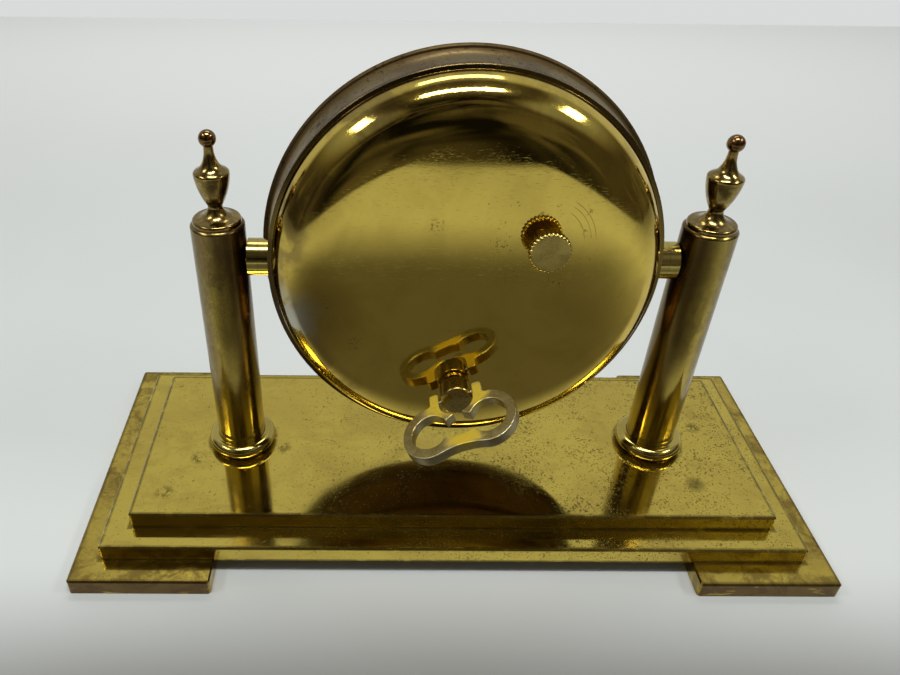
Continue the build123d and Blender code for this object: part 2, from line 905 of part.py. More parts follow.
# Movement frame: two plates, pillars, nuts, feet and screws
pillar_places = [polar((0, 0), pillar_circle_radius, angle) for angle in pillar_angles]
train_places = (
    winding_place,
    intermediate_place,
    centre_place,
    third_place,
    fourth_place,
    escape_place,
    pallet_place,
    balance_place,
)
small_pivot = pivot_radius + pivot_hole_spare


def plate_holes(start, holes):
    for place, radius in holes:
        with BuildSketch(at(start - overrun, place)) as hole:
            Circle(radius)
        extrude(hole.sketch, amount=plate_thickness + 2 * overrun, mode=Mode.SUBTRACT)


pivot_holes = [
    (place, small_pivot) for place in train_places if place not in (winding_place, centre_place)
]
shared_holes = [(place, pillar_pivot_radius + seat_clearance) for place in pillar_places] + [
    (winding_place, barrel_arbor_radius + running_clearance),
    (centre_place, arbor_radius + running_clearance),
    (setting_place, setting_arbor_radius + running_clearance),
]

frame_foot_places = [
    polar((0, 0), frame_foot_circle_radius, angle) for angle in frame_foot_angles
]
frame_foot_holes = [
    (place, frame_screw_radius + seat_clearance) for place in frame_foot_places
]

with BuildPart() as front_plate:
    with BuildSketch(at(front_plate_front)):
        Circle(plate_radius)
    extrude(amount=plate_thickness)
    plate_holes(front_plate_front, pivot_holes + shared_holes + frame_foot_holes)
    with BuildSketch(at(front_plate_front, minute_place)):
        Circle(minute_post_radius)
    extrude(amount=-(front_plate_front - hour_depth + motion_thickness))
save(front_plate, "front_plate")

click_distance = ratchet_radius + click_width + click_gap
click_place = polar(winding_place, click_distance, click_direction)
with BuildPart() as back_plate:
    with BuildSketch(at(back_plate_front)):
        Circle(plate_radius)
    extrude(amount=plate_thickness)
    plate_holes(
        back_plate_front, pivot_holes + shared_holes + [(click_place, click_screw_radius)]
    )
save(back_plate, "back_plate")

with BuildPart() as pillars:
    for place in pillar_places:
        turn_profile(
            place,
            stepped(
                (
                    (pillar_pivot_radius, front_plate_front, front_plate_back),
                    (pillar_radius, front_plate_back, back_plate_front),
                    (
                        pillar_pivot_radius,
                        back_plate_front,
                        back_plate_back + pillar_nut_thickness,
                    ),
                )
            ),
        )
save(pillars, "pillars")

with BuildPart() as pillar_nuts:
    for place in pillar_places:
        with BuildSketch(at(back_plate_back, place)):
            RegularPolygon(pillar_nut_radius, 6)
            Circle(pillar_pivot_radius + seat_clearance, mode=Mode.SUBTRACT)
        extrude(amount=pillar_nut_thickness)
save(pillar_nuts, "pillar_nuts")

with BuildPart() as frame_feet:
    for place in frame_foot_places:
        with BuildSketch(at(flange_back, place)):
            Circle(frame_foot_radius)
            Circle(frame_screw_radius + seat_clearance, mode=Mode.SUBTRACT)
        extrude(amount=front_plate_front - flange_back)
save(frame_feet, "frame_feet")

with BuildPart() as frame_screws:
    for place in frame_foot_places:
        turn_profile(
            place,
            stepped(
                (
                    (frame_screw_radius, seat_flange_front, front_plate_back),
                    (
                        frame_screw_head_radius,
                        front_plate_back,
                        front_plate_back + frame_screw_head_thickness,
                    ),
                )
            ),
        )
save(frame_screws, "frame_screws")

# Winding parts: barrel, cover, mainspring and arbor
barrel_top = barrel_bottom + barrel_height
barrel_floor = barrel_bottom + barrel_flange_thickness
barrel_cover_bottom = barrel_top - barrel_cover_thickness
barrel_bore = barrel_wall_radius - barrel_wall
mainspring_outer_radius = barrel_bore - mainspring_recess
mainspring_inner_radius = barrel_core_radius + mainspring_core_gap
mainspring_height = (barrel_cover_bottom - barrel_floor) * mainspring_height_share
arbor_hole = barrel_arbor_radius + running_clearance


def round_cut(depth, place, radius, length):
    with BuildSketch(at(depth, place)) as hole:
        Circle(radius)
    extrude(hole.sketch, amount=length, mode=Mode.SUBTRACT)


with BuildPart() as barrel:
    toothed_disc(
        barrel_bottom, winding_place, barrel_teeth, barrel_module, 0, barrel_flange_thickness
    )
    with BuildSketch(at(barrel_floor, winding_place)):
        Circle(barrel_wall_radius)
    extrude(amount=barrel_top - barrel_floor)
    round_cut(barrel_floor, winding_place, mainspring_outer_radius, barrel_height)
    round_cut(barrel_cover_bottom, winding_place, barrel_bore + seat_clearance, barrel_height)
    round_cut(barrel_bottom - overrun, winding_place, arbor_hole, barrel_height)
save(barrel, "barrel")

with BuildPart() as barrel_cover:
    with BuildSketch(at(barrel_cover_bottom, winding_place)):
        Circle(barrel_bore)
        Circle(arbor_hole, mode=Mode.SUBTRACT)
    extrude(amount=barrel_cover_thickness)
save(barrel_cover, "barrel_cover")


def coiled_strip(depth, place, inner, outer, turns, strip, height):
    """A flat spiral of half circles whose centres swap from side to side."""
    step = (outer - inner) / (2 * turns)
    with BuildSketch(at(depth, place)) as coil:
        with BuildLine():
            for half in range(2 * turns):
                lower = half % 2
                CenterArc((lower * step, 0), inner + half * step, 180 * lower, 180)
        trace(line_width=strip)
    extrude(coil.sketch, amount=height)


spring_gap = (barrel_cover_bottom - barrel_floor - mainspring_height) / 2
with BuildPart() as mainspring:
    coiled_strip(
        barrel_floor + spring_gap,
        winding_place,
        mainspring_inner_radius,
        mainspring_outer_radius - mainspring_strip,
        mainspring_turns,
        mainspring_strip,
        mainspring_height,
    )
save(mainspring, "mainspring")

square_end = cover_back + winding_square_reach
with BuildPart() as barrel_arbor:
    turn_profile(
        winding_place,
        stepped(
            (
                (barrel_arbor_radius, front_plate_front, barrel_floor + running_clearance),
                (
                    barrel_core_radius,
                    barrel_floor + running_clearance,
                    barrel_cover_bottom - running_clearance,
                ),
                (
                    barrel_arbor_radius,
                    barrel_cover_bottom - running_clearance,
                    back_plate_back + running_clearance,
                ),
            )
        ),
    )
    with BuildSketch(at(back_plate_back, winding_place)):
        Rectangle(winding_square, winding_square)
    extrude(amount=square_end - back_plate_back)
save(barrel_arbor, "barrel_arbor")

ratchet_root_radius = ratchet_radius - ratchet_tooth_depth
ratchet_pitch = 360 / ratchet_teeth
click_spread = degrees(acos((ratchet_radius + ratchet_root_radius) / 2 / click_distance))
click_meeting_angle = click_direction - click_spread
ratchet_start = back_plate_back + 2 * running_clearance
with BuildPart() as ratchet_wheel:
    with BuildSketch(at(ratchet_start, winding_place)):
        with BuildLine():
            Polyline(
                *[
                    polar((0, 0), radius, click_meeting_angle + tooth * ratchet_pitch)
                    for tooth in range(ratchet_teeth)
                    for radius in (ratchet_radius, ratchet_root_radius)
                ],
                close=True,
            )
        make_face()
        Rectangle(
            winding_square + 2 * seat_clearance,
            winding_square + 2 * seat_clearance,
            mode=Mode.SUBTRACT,
        )
    extrude(amount=ratchet_thickness)
save(ratchet_wheel, "ratchet_wheel")

beak_angle = click_meeting_angle + click_beak_lead
with BuildPart() as click:
    with BuildSketch(at(ratchet_start)):
        with Locations(click_place):
            Circle(click_width)
        with BuildLine():
            Polyline(
                polar(winding_place, ratchet_root_radius + click_beak_gap, beak_angle),
                polar(winding_place, ratchet_radius + click_beak_gap + click_width, beak_angle),
                (click_place[0] + click_width, click_place[1]),
                (click_place[0] - click_width / 2, click_place[1]),
                polar(
                    winding_place,
                    ratchet_radius + click_beak_gap,
                    click_meeting_angle + ratchet_pitch,
                ),
                close=True,
            )
        make_face()
        with Locations(click_place):
            Circle(click_screw_radius + running_clearance, mode=Mode.SUBTRACT)
    extrude(amount=click_thickness)
save(click, "click")

click_top = ratchet_start + click_thickness
with BuildPart() as click_screw:
    turn_profile(
        click_place,
        stepped(
            (
                (click_screw_radius - seat_clearance, back_plate_front, click_top + running_clearance),
                (
                    click_screw_head_radius,
                    click_top + running_clearance,
                    click_top + running_clearance + click_screw_head_thickness,
                ),
            )
        ),
    )
save(click_screw, "click_screw")

spring_x = click_place[0] + click_width + click_spring_strip
with BuildPart() as click_spring:
    with BuildSketch(at(back_plate_back)):
        with Locations((spring_x + click_width, click_place[1] + click_length)):
            Circle(click_width)
    extrude(amount=click_thickness)
    with BuildSketch(at(ratchet_start)):
        with BuildLine():
            Polyline(
                (spring_x + click_width / 2, click_place[1] + click_length),
                (spring_x, click_place[1]),
            )
        trace(line_width=click_spring_strip)
    extrude(amount=click_thickness)
save(click_spring, "click_spring")

# Key: hub, pin and folding bow
key_foot = cover_back + key_gap
key_end = cover_back + key_reach
pin_depth = cover_back + key_pivot_height
across_key = at(pin_depth, winding_place, key_angle)
pin_plane = Plane(origin=across_key.origin, x_dir=across_key.z_dir, z_dir=across_key.x_dir)
bow_reach = across_key.z_dir * cos(radians(bow_lean)) - across_key.y_dir * sin(radians(bow_lean))
bow_plane = Plane(
    origin=across_key.origin,
    x_dir=across_key.x_dir,
    z_dir=across_key.x_dir.cross(bow_reach),
).rotated((0, 0, -bow_turn))
with BuildPart() as key_hub:
    turn_profile(
        winding_place,
        (
            (0, key_foot),
            (key_neck_radius, key_foot),
            (key_neck_radius, cover_back + key_neck_height),
            (key_hub_radius, cover_back + key_neck_height + key_edge_break),
            (key_hub_radius, key_end - key_edge_break),
            (key_hub_radius - key_edge_break, key_end),
            (0, key_end),
        ),
    )
    with BuildSketch(at(key_foot, winding_place)):
        Rectangle(winding_square + 2 * seat_clearance, winding_square + 2 * seat_clearance)
    extrude(amount=key_square_depth - key_gap, mode=Mode.SUBTRACT)
    with BuildSketch(pin_plane):
        Circle(key_pin_radius + seat_clearance)
    extrude(amount=key_hub_radius + overrun, both=True, mode=Mode.SUBTRACT)
save(key_hub, "key_hub")

# The waist is an arc that runs smoothly into both lobes
waist_across = sin(radians(bow_waist_angle))
waist_along = cos(radians(bow_waist_angle))
waist_touch = bow_lobe_spread - bow_lobe_radius * waist_across
waist_touch_height = bow_lobe_height + bow_lobe_stretch * waist_along
waist_run = waist_touch * bow_lobe_radius / waist_across
waist_centre_height = waist_touch_height + waist_run * waist_along / bow_lobe_stretch
waist_radius = hypot(waist_touch, waist_centre_height - waist_touch_height)
bow_bump_height = waist_centre_height - waist_radius - bow_bar_width - bow_bump_dip
horn_inner = key_hub_radius + bow_horn_gap
horn_outer = horn_inner + bow_horn_width
with BuildPart() as key_pin:
    with BuildSketch(pin_plane):
        Circle(key_pin_radius)
    extrude(amount=horn_outer, both=True)
save(key_pin, "key_pin")


def above_pin(height):
    """A height over the cover as a height over the pin."""
    return height - key_pivot_height


with BuildPart() as key_bow:
    with BuildSketch(bow_plane.offset(-bow_thickness / 2)):
        for sign in (-1, 1):
            with Locations((sign * (horn_inner + horn_outer) / 2, -bow_horn_tip)):
                Rectangle(
                    bow_horn_width,
                    bow_horn_tip + above_pin(bow_lobe_height),
                    align=(Align.CENTER, Align.MIN),
                )
        with Locations((0, above_pin(bow_recess_height))):
            Rectangle(
                2 * waist_touch,
                waist_touch_height - bow_recess_height,
                align=(Align.CENTER, Align.MIN),
            )
        with Locations((0, above_pin(waist_centre_height))):
            Circle(waist_radius, mode=Mode.SUBTRACT)
        for sign in (-1, 1):
            with Locations((sign * bow_lobe_spread, above_pin(bow_lobe_height))):
                Ellipse(bow_lobe_radius, bow_lobe_stretch)
                Ellipse(bow_hole_radius, bow_hole_stretch, mode=Mode.SUBTRACT)
        with Locations((0, above_pin(bow_recess_height))):
            Circle(horn_inner, mode=Mode.SUBTRACT)
        with BuildLine():
            between = Polyline(
                (-bow_bump_half_width, above_pin(bow_bump_height)),
                (-bow_bump_half_width, above_pin(bow_tab_height)),
                (-bow_tab_gap / 2, above_pin(bow_tab_foot)),
                (bow_tab_gap / 2, above_pin(bow_tab_foot)),
                (bow_bump_half_width, above_pin(bow_tab_height)),
                (bow_bump_half_width, above_pin(bow_bump_height)),
            )
            ThreePointArc(
                between @ 1, (0, above_pin(bow_bump_height + bow_bump_dip)), between @ 0
            )
        make_face(mode=Mode.SUBTRACT)
        with Locations((0, above_pin(bow_recess_height))):
            Rectangle(
                bow_tab_gap,
                bow_tab_foot - bow_recess_height + overrun,
                align=(Align.CENTER, Align.MIN),
                mode=Mode.SUBTRACT,
            )
    extrude(amount=bow_thickness)
    through_edges = key_bow.edges().filter_by(Axis(bow_plane.origin, bow_plane.z_dir))
    corners = through_edges.sort_by(lambda edge: bow_plane.to_local_coords(edge.center()).Y)
    horn_corners, horn_roots, bump_corners = corners[:4], corners[4:6], corners[12:14]
    fillet(horn_corners, bow_horn_round)
    fillet(horn_roots, bow_root_round)
    fillet(bump_corners, bow_bump_round)
    with BuildSketch(pin_plane):
        Circle(key_pin_radius + running_clearance)
    extrude(amount=horn_outer + overrun, both=True, mode=Mode.SUBTRACT)
save(key_bow, "key_bow")


# Train wheels and pinions
def lightening(depth, place, root_radius):
    """Five round windows through a wheel, inside the current part."""
    middle = (root_radius + wheel_seat_radius) / 2
    window = (root_radius - wheel_seat_radius) * window_share / 2
    with BuildSketch(at(depth - overrun, place)) as windows:
        with PolarLocations(middle, window_count):
            Circle(window)
    extrude(windows.sketch, amount=wheel_thickness + 2 * overrun, mode=Mode.SUBTRACT)


def train_wheel(depth, place, teeth, module, phase, label):
    with BuildPart() as wheel:
        toothed_disc(depth, place, teeth, module, phase, wheel_thickness)
        lightening(depth, place, teeth * module / 2 - wheel_dedendum_share * module)
        round_cut(depth - overrun, place, arbor_radius + seat_clearance, wheel_thickness + 2 * overrun)
    save(wheel, label)


def train_arbor(mesh_middle, place, leaves, module, phase, label, ends=None):
    """An arbor and its pinion cut from one bar, with a pivot at each end."""
    shoulder = running_clearance + pivot_hole_spare
    steps = ends or (
        (pivot_radius, front_plate_front, front_plate_back + shoulder),
        (arbor_radius, front_plate_back + shoulder, back_plate_front - shoulder),
        (pivot_radius, back_plate_front - shoulder, back_plate_back),
    )
    with BuildPart() as arbor:
        turn_profile(place, stepped(steps))
        start = mesh_middle - pinion_face / 2
        toothed_disc(start, place, leaves, module, phase, pinion_face, leaf_shares)
    save(arbor, label)


barrel_middle = barrel_bottom + barrel_flange_thickness / 2
half_wheel = wheel_thickness / 2
train_arbor(
    barrel_middle,
    intermediate_place,
    great_pinion_leaves,
    barrel_module,
    meshed_phase(winding_place, barrel_teeth, 0, intermediate_place, great_pinion_leaves),
    "intermediate_pinion",
)
train_wheel(
    intermediate_depth,
    intermediate_place,
    intermediate_teeth,
    intermediate_module,
    0,
    "intermediate_wheel",
)
train_arbor(
    intermediate_depth + half_wheel,
    centre_place,
    centre_pinion_leaves,
    intermediate_module,
    meshed_phase(intermediate_place, intermediate_teeth, 0, centre_place, centre_pinion_leaves),
    "centre_pinion",
    ((arbor_radius, minute_hand_depth, back_plate_back),),
)
train_wheel(centre_depth, centre_place, centre_teeth, centre_module, 0, "centre_wheel")
train_arbor(
    centre_depth + half_wheel,
    third_place,
    third_pinion_leaves,
    centre_module,
    meshed_phase(centre_place, centre_teeth, 0, third_place, third_pinion_leaves),
    "third_pinion",
)
train_wheel(third_depth, third_place, third_teeth, third_module, 0, "third_wheel")
train_arbor(
    third_depth + half_wheel,
    fourth_place,
    fourth_pinion_leaves,
    third_module,
    meshed_phase(third_place, third_teeth, 0, fourth_place, fourth_pinion_leaves),
    "fourth_pinion",
)
train_wheel(fourth_depth, fourth_place, fourth_teeth, fourth_module, 0, "fourth_wheel")
train_arbor(
    fourth_depth + half_wheel,
    escape_place,
    escape_pinion_leaves,
    fourth_module,
    meshed_phase(fourth_place, fourth_teeth, 0, escape_place, escape_pinion_leaves),
    "escape_pinion",
)

# Escapement and balance
with BuildPart() as escape_wheel:
    with BuildSketch(at(escape_depth, escape_place)):
        with BuildLine():
            Polyline(
                *[
                    polar((0, 0), radius, pallet_direction + (tooth + lag) * 360 / escape_teeth)
                    for tooth in range(escape_teeth)
                    for radius, lag in (
                        (escape_tip_radius, 0),
                        (escape_root_radius, escape_hook_share),
                        (escape_root_radius, escape_foot_share),
                    )
                ],
                close=True,
            )
        make_face()
        Circle(arbor_radius + seat_clearance, mode=Mode.SUBTRACT)
    extrude(amount=escape_thickness)
save(escape_wheel, "escape_wheel")

shoulder = running_clearance + pivot_hole_spare
plain_staff = (
    (pivot_radius, front_plate_front, front_plate_back + shoulder),
    (arbor_radius, front_plate_back + shoulder, back_plate_front - shoulder),
    (pivot_radius, back_plate_front - shoulder, back_plate_back),
)
pallet_circle = escape_tip_radius + pallet_gap
pallet_plane_angle = pallet_direction + 180
with BuildPart() as pallet_lever:
    with BuildSketch(at(escape_depth, pallet_place, pallet_plane_angle)):
        Circle(wheel_seat_radius)
        for sign in (-1, 1):
            reach = polar((0, 0), pallet_circle, sign * pallet_spread)
            arm_end = (pallet_distance - reach[0], sign * (reach[1] + pallet_nib))
            nib_end = (pallet_distance - reach[0], reach[1])
            with BuildLine():
                Polyline((0, 0), (arm_end[0] - pallet_nib, sign * arm_end[1]), nib_end)
            trace(line_width=pallet_width)
    extrude(amount=lever_thickness)
    with BuildSketch(at(escape_depth, pallet_place, balance_direction)):
        with Locations((0, 0)):
            Rectangle(lever_length, lever_width, align=(Align.MIN, Align.CENTER))
        with Locations((lever_length - fork_depth - lever_width, 0)):
            Rectangle(
                fork_depth + lever_width,
                fork_width,
                align=(Align.MIN, Align.CENTER),
            )
        with Locations((lever_length - fork_depth, 0)):
            Rectangle(
                fork_depth + overrun,
                fork_gap,
                align=(Align.MIN, Align.CENTER),
                mode=Mode.SUBTRACT,
            )
    extrude(amount=lever_thickness)
    turn_profile(pallet_place, stepped(plain_staff))
save(pallet_lever, "pallet_lever")

with BuildPart() as balance_wheel:
    with BuildSketch(at(balance_depth, balance_place)):
        Circle(balance_radius)
        Circle(balance_radius - balance_rim, mode=Mode.SUBTRACT)
        with PolarLocations(0, balance_spokes):
            Rectangle(
                balance_radius - balance_rim / 2,
                balance_spoke,
                align=(Align.MIN, Align.CENTER),
            )
        Circle(balance_hub_radius)
        Circle(arbor_radius + seat_clearance, mode=Mode.SUBTRACT)
    extrude(amount=balance_thickness)
save(balance_wheel, "balance_wheel")

roller_start = escape_depth + lever_thickness + roller_gap
with BuildPart() as balance_staff:
    turn_profile(balance_place, stepped(plain_staff))
    with BuildSketch(at(roller_start, balance_place)):
        Circle(roller_radius)
    extrude(amount=roller_thickness)
    with BuildSketch(at(escape_depth, balance_place, balance_direction)):
        with Locations((-roller_pin_reach, 0)):
            Circle(roller_pin_radius)
    extrude(amount=roller_start - escape_depth)
save(balance_staff, "balance_staff")

with BuildPart() as hairspring:
    coiled_strip(
        hairspring_depth,
        balance_place,
        hairspring_inner_radius,
        hairspring_outer_radius,
        hairspring_turns,
        hairspring_strip,
        hairspring_height,
    )
    with BuildSketch(at(hairspring_depth, balance_place)):
        with Locations((hairspring_outer_radius, 0)):
            Rectangle(stud_size, stud_size)
    extrude(amount=back_plate_front - hairspring_depth)
save(hairspring, "hairspring")

# Motion work and hands
motion_front = motion_back - motion_thickness
cannon_phase = 0
minute_phase = meshed_phase(centre_place, cannon_leaves, cannon_phase, minute_place, minute_teeth)
with BuildPart() as cannon_pinion:
    toothed_disc(
        motion_front,
        centre_place,
        cannon_leaves,
        motion_module,
        cannon_phase,
        motion_thickness,
    )
    turn_profile(
        centre_place,
        stepped(((cannon_pipe_radius, minute_hand_depth - hand_thickness, motion_back),)),
    )
    round_cut(minute_hand_depth - overrun, centre_place, cannon_bore_radius, -minute_hand_depth)
save(cannon_pinion, "cannon_pinion")

with BuildPart() as minute_wheel:
    toothed_disc(
        motion_front, minute_place, minute_teeth, motion_module, minute_phase, motion_thickness
    )
    toothed_disc(
        hour_depth,
        minute_place,
        minute_pinion_leaves,
        hour_module,
        0,
        motion_front - hour_depth,
        leaf_shares,
    )
    round_cut(
        hour_depth - overrun,
        minute_place,
        minute_post_radius + running_clearance,
        motion_back - hour_depth + 2 * overrun,
    )
save(minute_wheel, "minute_wheel")

with BuildPart() as hour_wheel:
    toothed_disc(
        hour_depth,
        centre_place,
        hour_teeth,
        hour_module,
        meshed_phase(minute_place, minute_pinion_leaves, 0, centre_place, hour_teeth),
        motion_thickness,
    )
    turn_profile(
        centre_place, stepped(((hour_pipe_radius, hour_hand_depth - hand_thickness, hour_depth),))
    )
    round_cut(
        hour_hand_depth - overrun,
        centre_place,
        cannon_pipe_radius + running_clearance,
        -hour_hand_depth,
    )
save(hour_wheel, "hour_wheel")


def clock_hand(depth, angle, length, width, pipe_radius, label):
    """A spade hand whose broad leaf narrows to a fine tip."""
    with BuildPart() as hand:
        with BuildSketch(at(depth - hand_thickness, centre_place, angle)):
            Circle(hand_hub_radius)
            with BuildLine():
                Polyline(
                    (-hand_tail, -hand_tip_width),
                    (length / 2, -hand_tip_width),
                    (length * leaf_place_share, -width / 2),
                    (length, -hand_tip_width / 2),
                    (length, hand_tip_width / 2),
                    (length * leaf_place_share, width / 2),
                    (length / 2, hand_tip_width),
                    (-hand_tail, hand_tip_width),
                    close=True,
                )
            make_face()
            Circle(pipe_radius + seat_clearance, mode=Mode.SUBTRACT)
        extrude(amount=hand_thickness)
    save(hand, label)


minute_turn = 360 * shown_minute / 60
hour_turn = 360 * (shown_hour + shown_minute / 60) / 12
clock_hand(
    minute_hand_depth,
    90 + minute_turn,
    minute_hand_length,
    minute_hand_width,
    cannon_pipe_radius,
    "minute_hand",
)
clock_hand(
    hour_hand_depth,
    90 + hour_turn,
    hour_hand_length,
    hour_hand_width,
    hour_pipe_radius,
    "hour_hand",
)

# Setting arbor and knob
knob_end = cover_back + knob_reach
with BuildPart() as set_arbor:
    turn_profile(
        setting_place,
        stepped(((setting_arbor_radius, motion_front, knob_end - knob_thickness / 2),)),
    )
    toothed_disc(
        motion_front,
        setting_place,
        setting_leaves,
        motion_module,
        meshed_phase(minute_place, minute_teeth, minute_phase, setting_place, setting_leaves),
        motion_thickness,
    )
save(set_arbor, "set_arbor")

with BuildPart() as set_knob:
    turn_profile(
        setting_place,
        (
            (0, cover_back + knob_gap),
            (knob_stem_radius, cover_back + knob_gap),
            (knob_stem_radius, knob_end - knob_thickness),
            (knob_radius - edge_break, knob_end - knob_thickness),
            (knob_radius, knob_end - knob_thickness + edge_break),
            (knob_radius, knob_end - edge_break),
            (knob_radius - edge_break, knob_end),
            (0, knob_end),
        ),
    )
    with BuildSketch(at(cover_back, setting_place)):
        with PolarLocations(knob_radius + knob_groove / 2, knob_teeth):
            Circle(knob_groove)
    extrude(amount=knob_reach + overrun, mode=Mode.SUBTRACT)
    round_cut(
        cover_back,
        setting_place,
        setting_arbor_radius + seat_clearance,
        knob_reach - knob_thickness / 2 + seat_clearance,
    )
save(set_knob, "set_knob")
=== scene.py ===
import bpy
import bmesh
import math
from math import cos, pi, radians, sin
from mathutils import Matrix, Vector


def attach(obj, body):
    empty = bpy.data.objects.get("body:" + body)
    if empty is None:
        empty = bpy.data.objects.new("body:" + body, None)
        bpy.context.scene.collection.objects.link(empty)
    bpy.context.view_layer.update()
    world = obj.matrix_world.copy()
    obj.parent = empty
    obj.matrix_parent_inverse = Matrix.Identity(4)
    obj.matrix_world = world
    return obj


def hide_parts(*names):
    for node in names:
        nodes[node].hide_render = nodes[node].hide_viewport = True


# The looks of a brass desk clock seen from behind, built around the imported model.
# Lengths in the profiles are millimetres; mm turns them into metres and to_mm turns metres back.
mm = 0.001
to_mm = 1000.0

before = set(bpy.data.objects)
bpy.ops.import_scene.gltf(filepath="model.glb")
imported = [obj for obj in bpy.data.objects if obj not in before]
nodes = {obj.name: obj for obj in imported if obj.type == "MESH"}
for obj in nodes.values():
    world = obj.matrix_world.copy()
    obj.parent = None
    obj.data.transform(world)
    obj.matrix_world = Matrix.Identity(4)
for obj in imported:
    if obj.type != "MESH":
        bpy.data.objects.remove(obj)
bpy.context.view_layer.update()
scene = bpy.context.scene

# The drum leans and hangs on its trunnions; its own Z points out of the cover
LEAN = radians(6.0)
PIVOT = 75.9
DRUM = Matrix((
    (-1, 0, 0, 0),
    (0, -sin(LEAN), cos(LEAN), 0),
    (0, cos(LEAN), sin(LEAN), PIVOT * mm),
    (0, 0, 0, 1),
))
# Half widths and half depths of the base's three layers, which are equally thick
PLATE = 4.75
FOOT_TOP = PLATE
LOWER_TOP = 2 * PLATE
BASE_TOP = 3 * PLATE
FEET = (100.0, 43.0)
LOWER = (93.0, 36.0)
UPPER = (86.0, 29.0)
# Columns stand at plus and minus SPACING
SPACING = 59.35
COLUMN_HEIGHT = 71.2
COLUMN_RADIUS = 6.58
# Key and knob in the drum's own X and Y, and the height of the cover's flat middle
KEY = (-1.339, -28.4)
KNOB = (16.76, 10.2)
COVER = 14.1


# Mesh helpers
def arc(cx, cy, radius, start, end, steps):
    """Points on an arc, angles in degrees."""
    return [
        (cx + radius * cos(radians(start + (end - start) * i / steps)),
         cy + radius * sin(radians(start + (end - start) * i / steps)))
        for i in range(steps + 1)
    ]


def arc3(p, q, r, steps):
    """Points on the arc from p through q to r."""
    ax, ay, bx, by, cx, cy = *p, *q, *r
    d = 2 * (ax * (by - cy) + bx * (cy - ay) + cx * (ay - by))
    ux = ((ax**2 + ay**2) * (by - cy) + (bx**2 + by**2) * (cy - ay) + (cx**2 + cy**2) * (ay - by)) / d
    uy = ((ax**2 + ay**2) * (cx - bx) + (bx**2 + by**2) * (ax - cx) + (cx**2 + cy**2) * (bx - ax)) / d
    start = math.atan2(ay - uy, ax - ux)
    middle = math.atan2(by - uy, bx - ux)
    end = math.atan2(cy - uy, cx - ux)
    sweep = (end - start) % (2 * pi)
    if (middle - start) % (2 * pi) > sweep:
        sweep -= 2 * pi
    radius = math.hypot(ax - ux, ay - uy)
    return [
        (ux + radius * cos(start + sweep * i / steps), uy + radius * sin(start + sweep * i / steps))
        for i in range(steps + 1)
    ]


def bend(p, q, r, stops):
    """Points on the curve from p to r that is pulled towards q."""
    return [
        tuple(a * (1 - t) ** 2 + b * 2 * t * (1 - t) + c * t**2 for a, b, c in zip(p, q, r))
        for t in stops
    ]


def soften(points, radius, closed=False, steps=4, sharpest=25):
    """Round the corners of a profile; corners flatter than the sharpest angle stay."""
    out = []
    count = len(points)
    for i, point in enumerate(points):
        if not closed and i in (0, count - 1):
            out.append(point)
            continue
        here = Vector(point)
        before = Vector(points[i - 1]) - here
        after = Vector(points[(i + 1) % count]) - here
        turn = math.degrees(before.angle(-after, 0))
        if turn < sharpest:
            out.append(point)
            continue
        reach = min(radius, 0.45 * before.length, 0.45 * after.length)
        a = here + before.normalized() * reach
        b = here + after.normalized() * reach
        out += bend(a, here, b, [k / steps for k in range(steps + 1)])
    return out


def finish_mesh(name, verts, faces, matrix, angle=38):
    """A smooth object from points in millimetres; edges sharper than the angle stay sharp."""
    mesh = bpy.data.meshes.new(name)
    mesh.from_pydata([matrix @ Vector((x * mm, y * mm, z * mm)) for x, y, z in verts], [], faces)
    work = bmesh.new()
    work.from_mesh(mesh)
    bmesh.ops.remove_doubles(work, verts=work.verts, dist=1e-7)
    bmesh.ops.recalc_face_normals(work, faces=work.faces)
    work.to_mesh(mesh)
    work.free()
    mesh.polygons.foreach_set("use_smooth", [True] * len(mesh.polygons))
    mesh.set_sharp_from_angle(angle=radians(angle))
    piece = bpy.data.objects.new(name, mesh)
    scene.collection.objects.link(piece)
    return piece


def lathe(name, profile, matrix, segments=192, closed=False, wobble=None):
    """Turn a profile of (radius, height) about local Z; wobble changes a radius with its angle."""
    verts, rings = [], []
    for index, (radius, height) in enumerate(profile):
        if radius < 1e-6:
            rings.append([len(verts)])
            verts.append((0, 0, height))
            continue
        ring = []
        for s in range(segments):
            turn = 2 * pi * s / segments
            r = wobble(radius, height, turn) if wobble else radius
            ring.append(len(verts))
            verts.append((r * cos(turn), r * sin(turn), height))
        rings.append(ring)
    faces = []
    pairs = list(zip(rings, rings[1:]))
    if closed:
        pairs.append((rings[-1], rings[0]))
    for low, high in pairs:
        if len(low) == 1 and len(high) == 1:
            continue
        for s in range(segments):
            t = (s + 1) % segments
            if len(low) == 1:
                faces.append((low[0], high[s], high[t]))
            elif len(high) == 1:
                faces.append((low[s], high[0], low[t]))
            else:
                faces.append((low[s], high[s], high[t], low[t]))
    return finish_mesh(name, verts, faces, matrix)


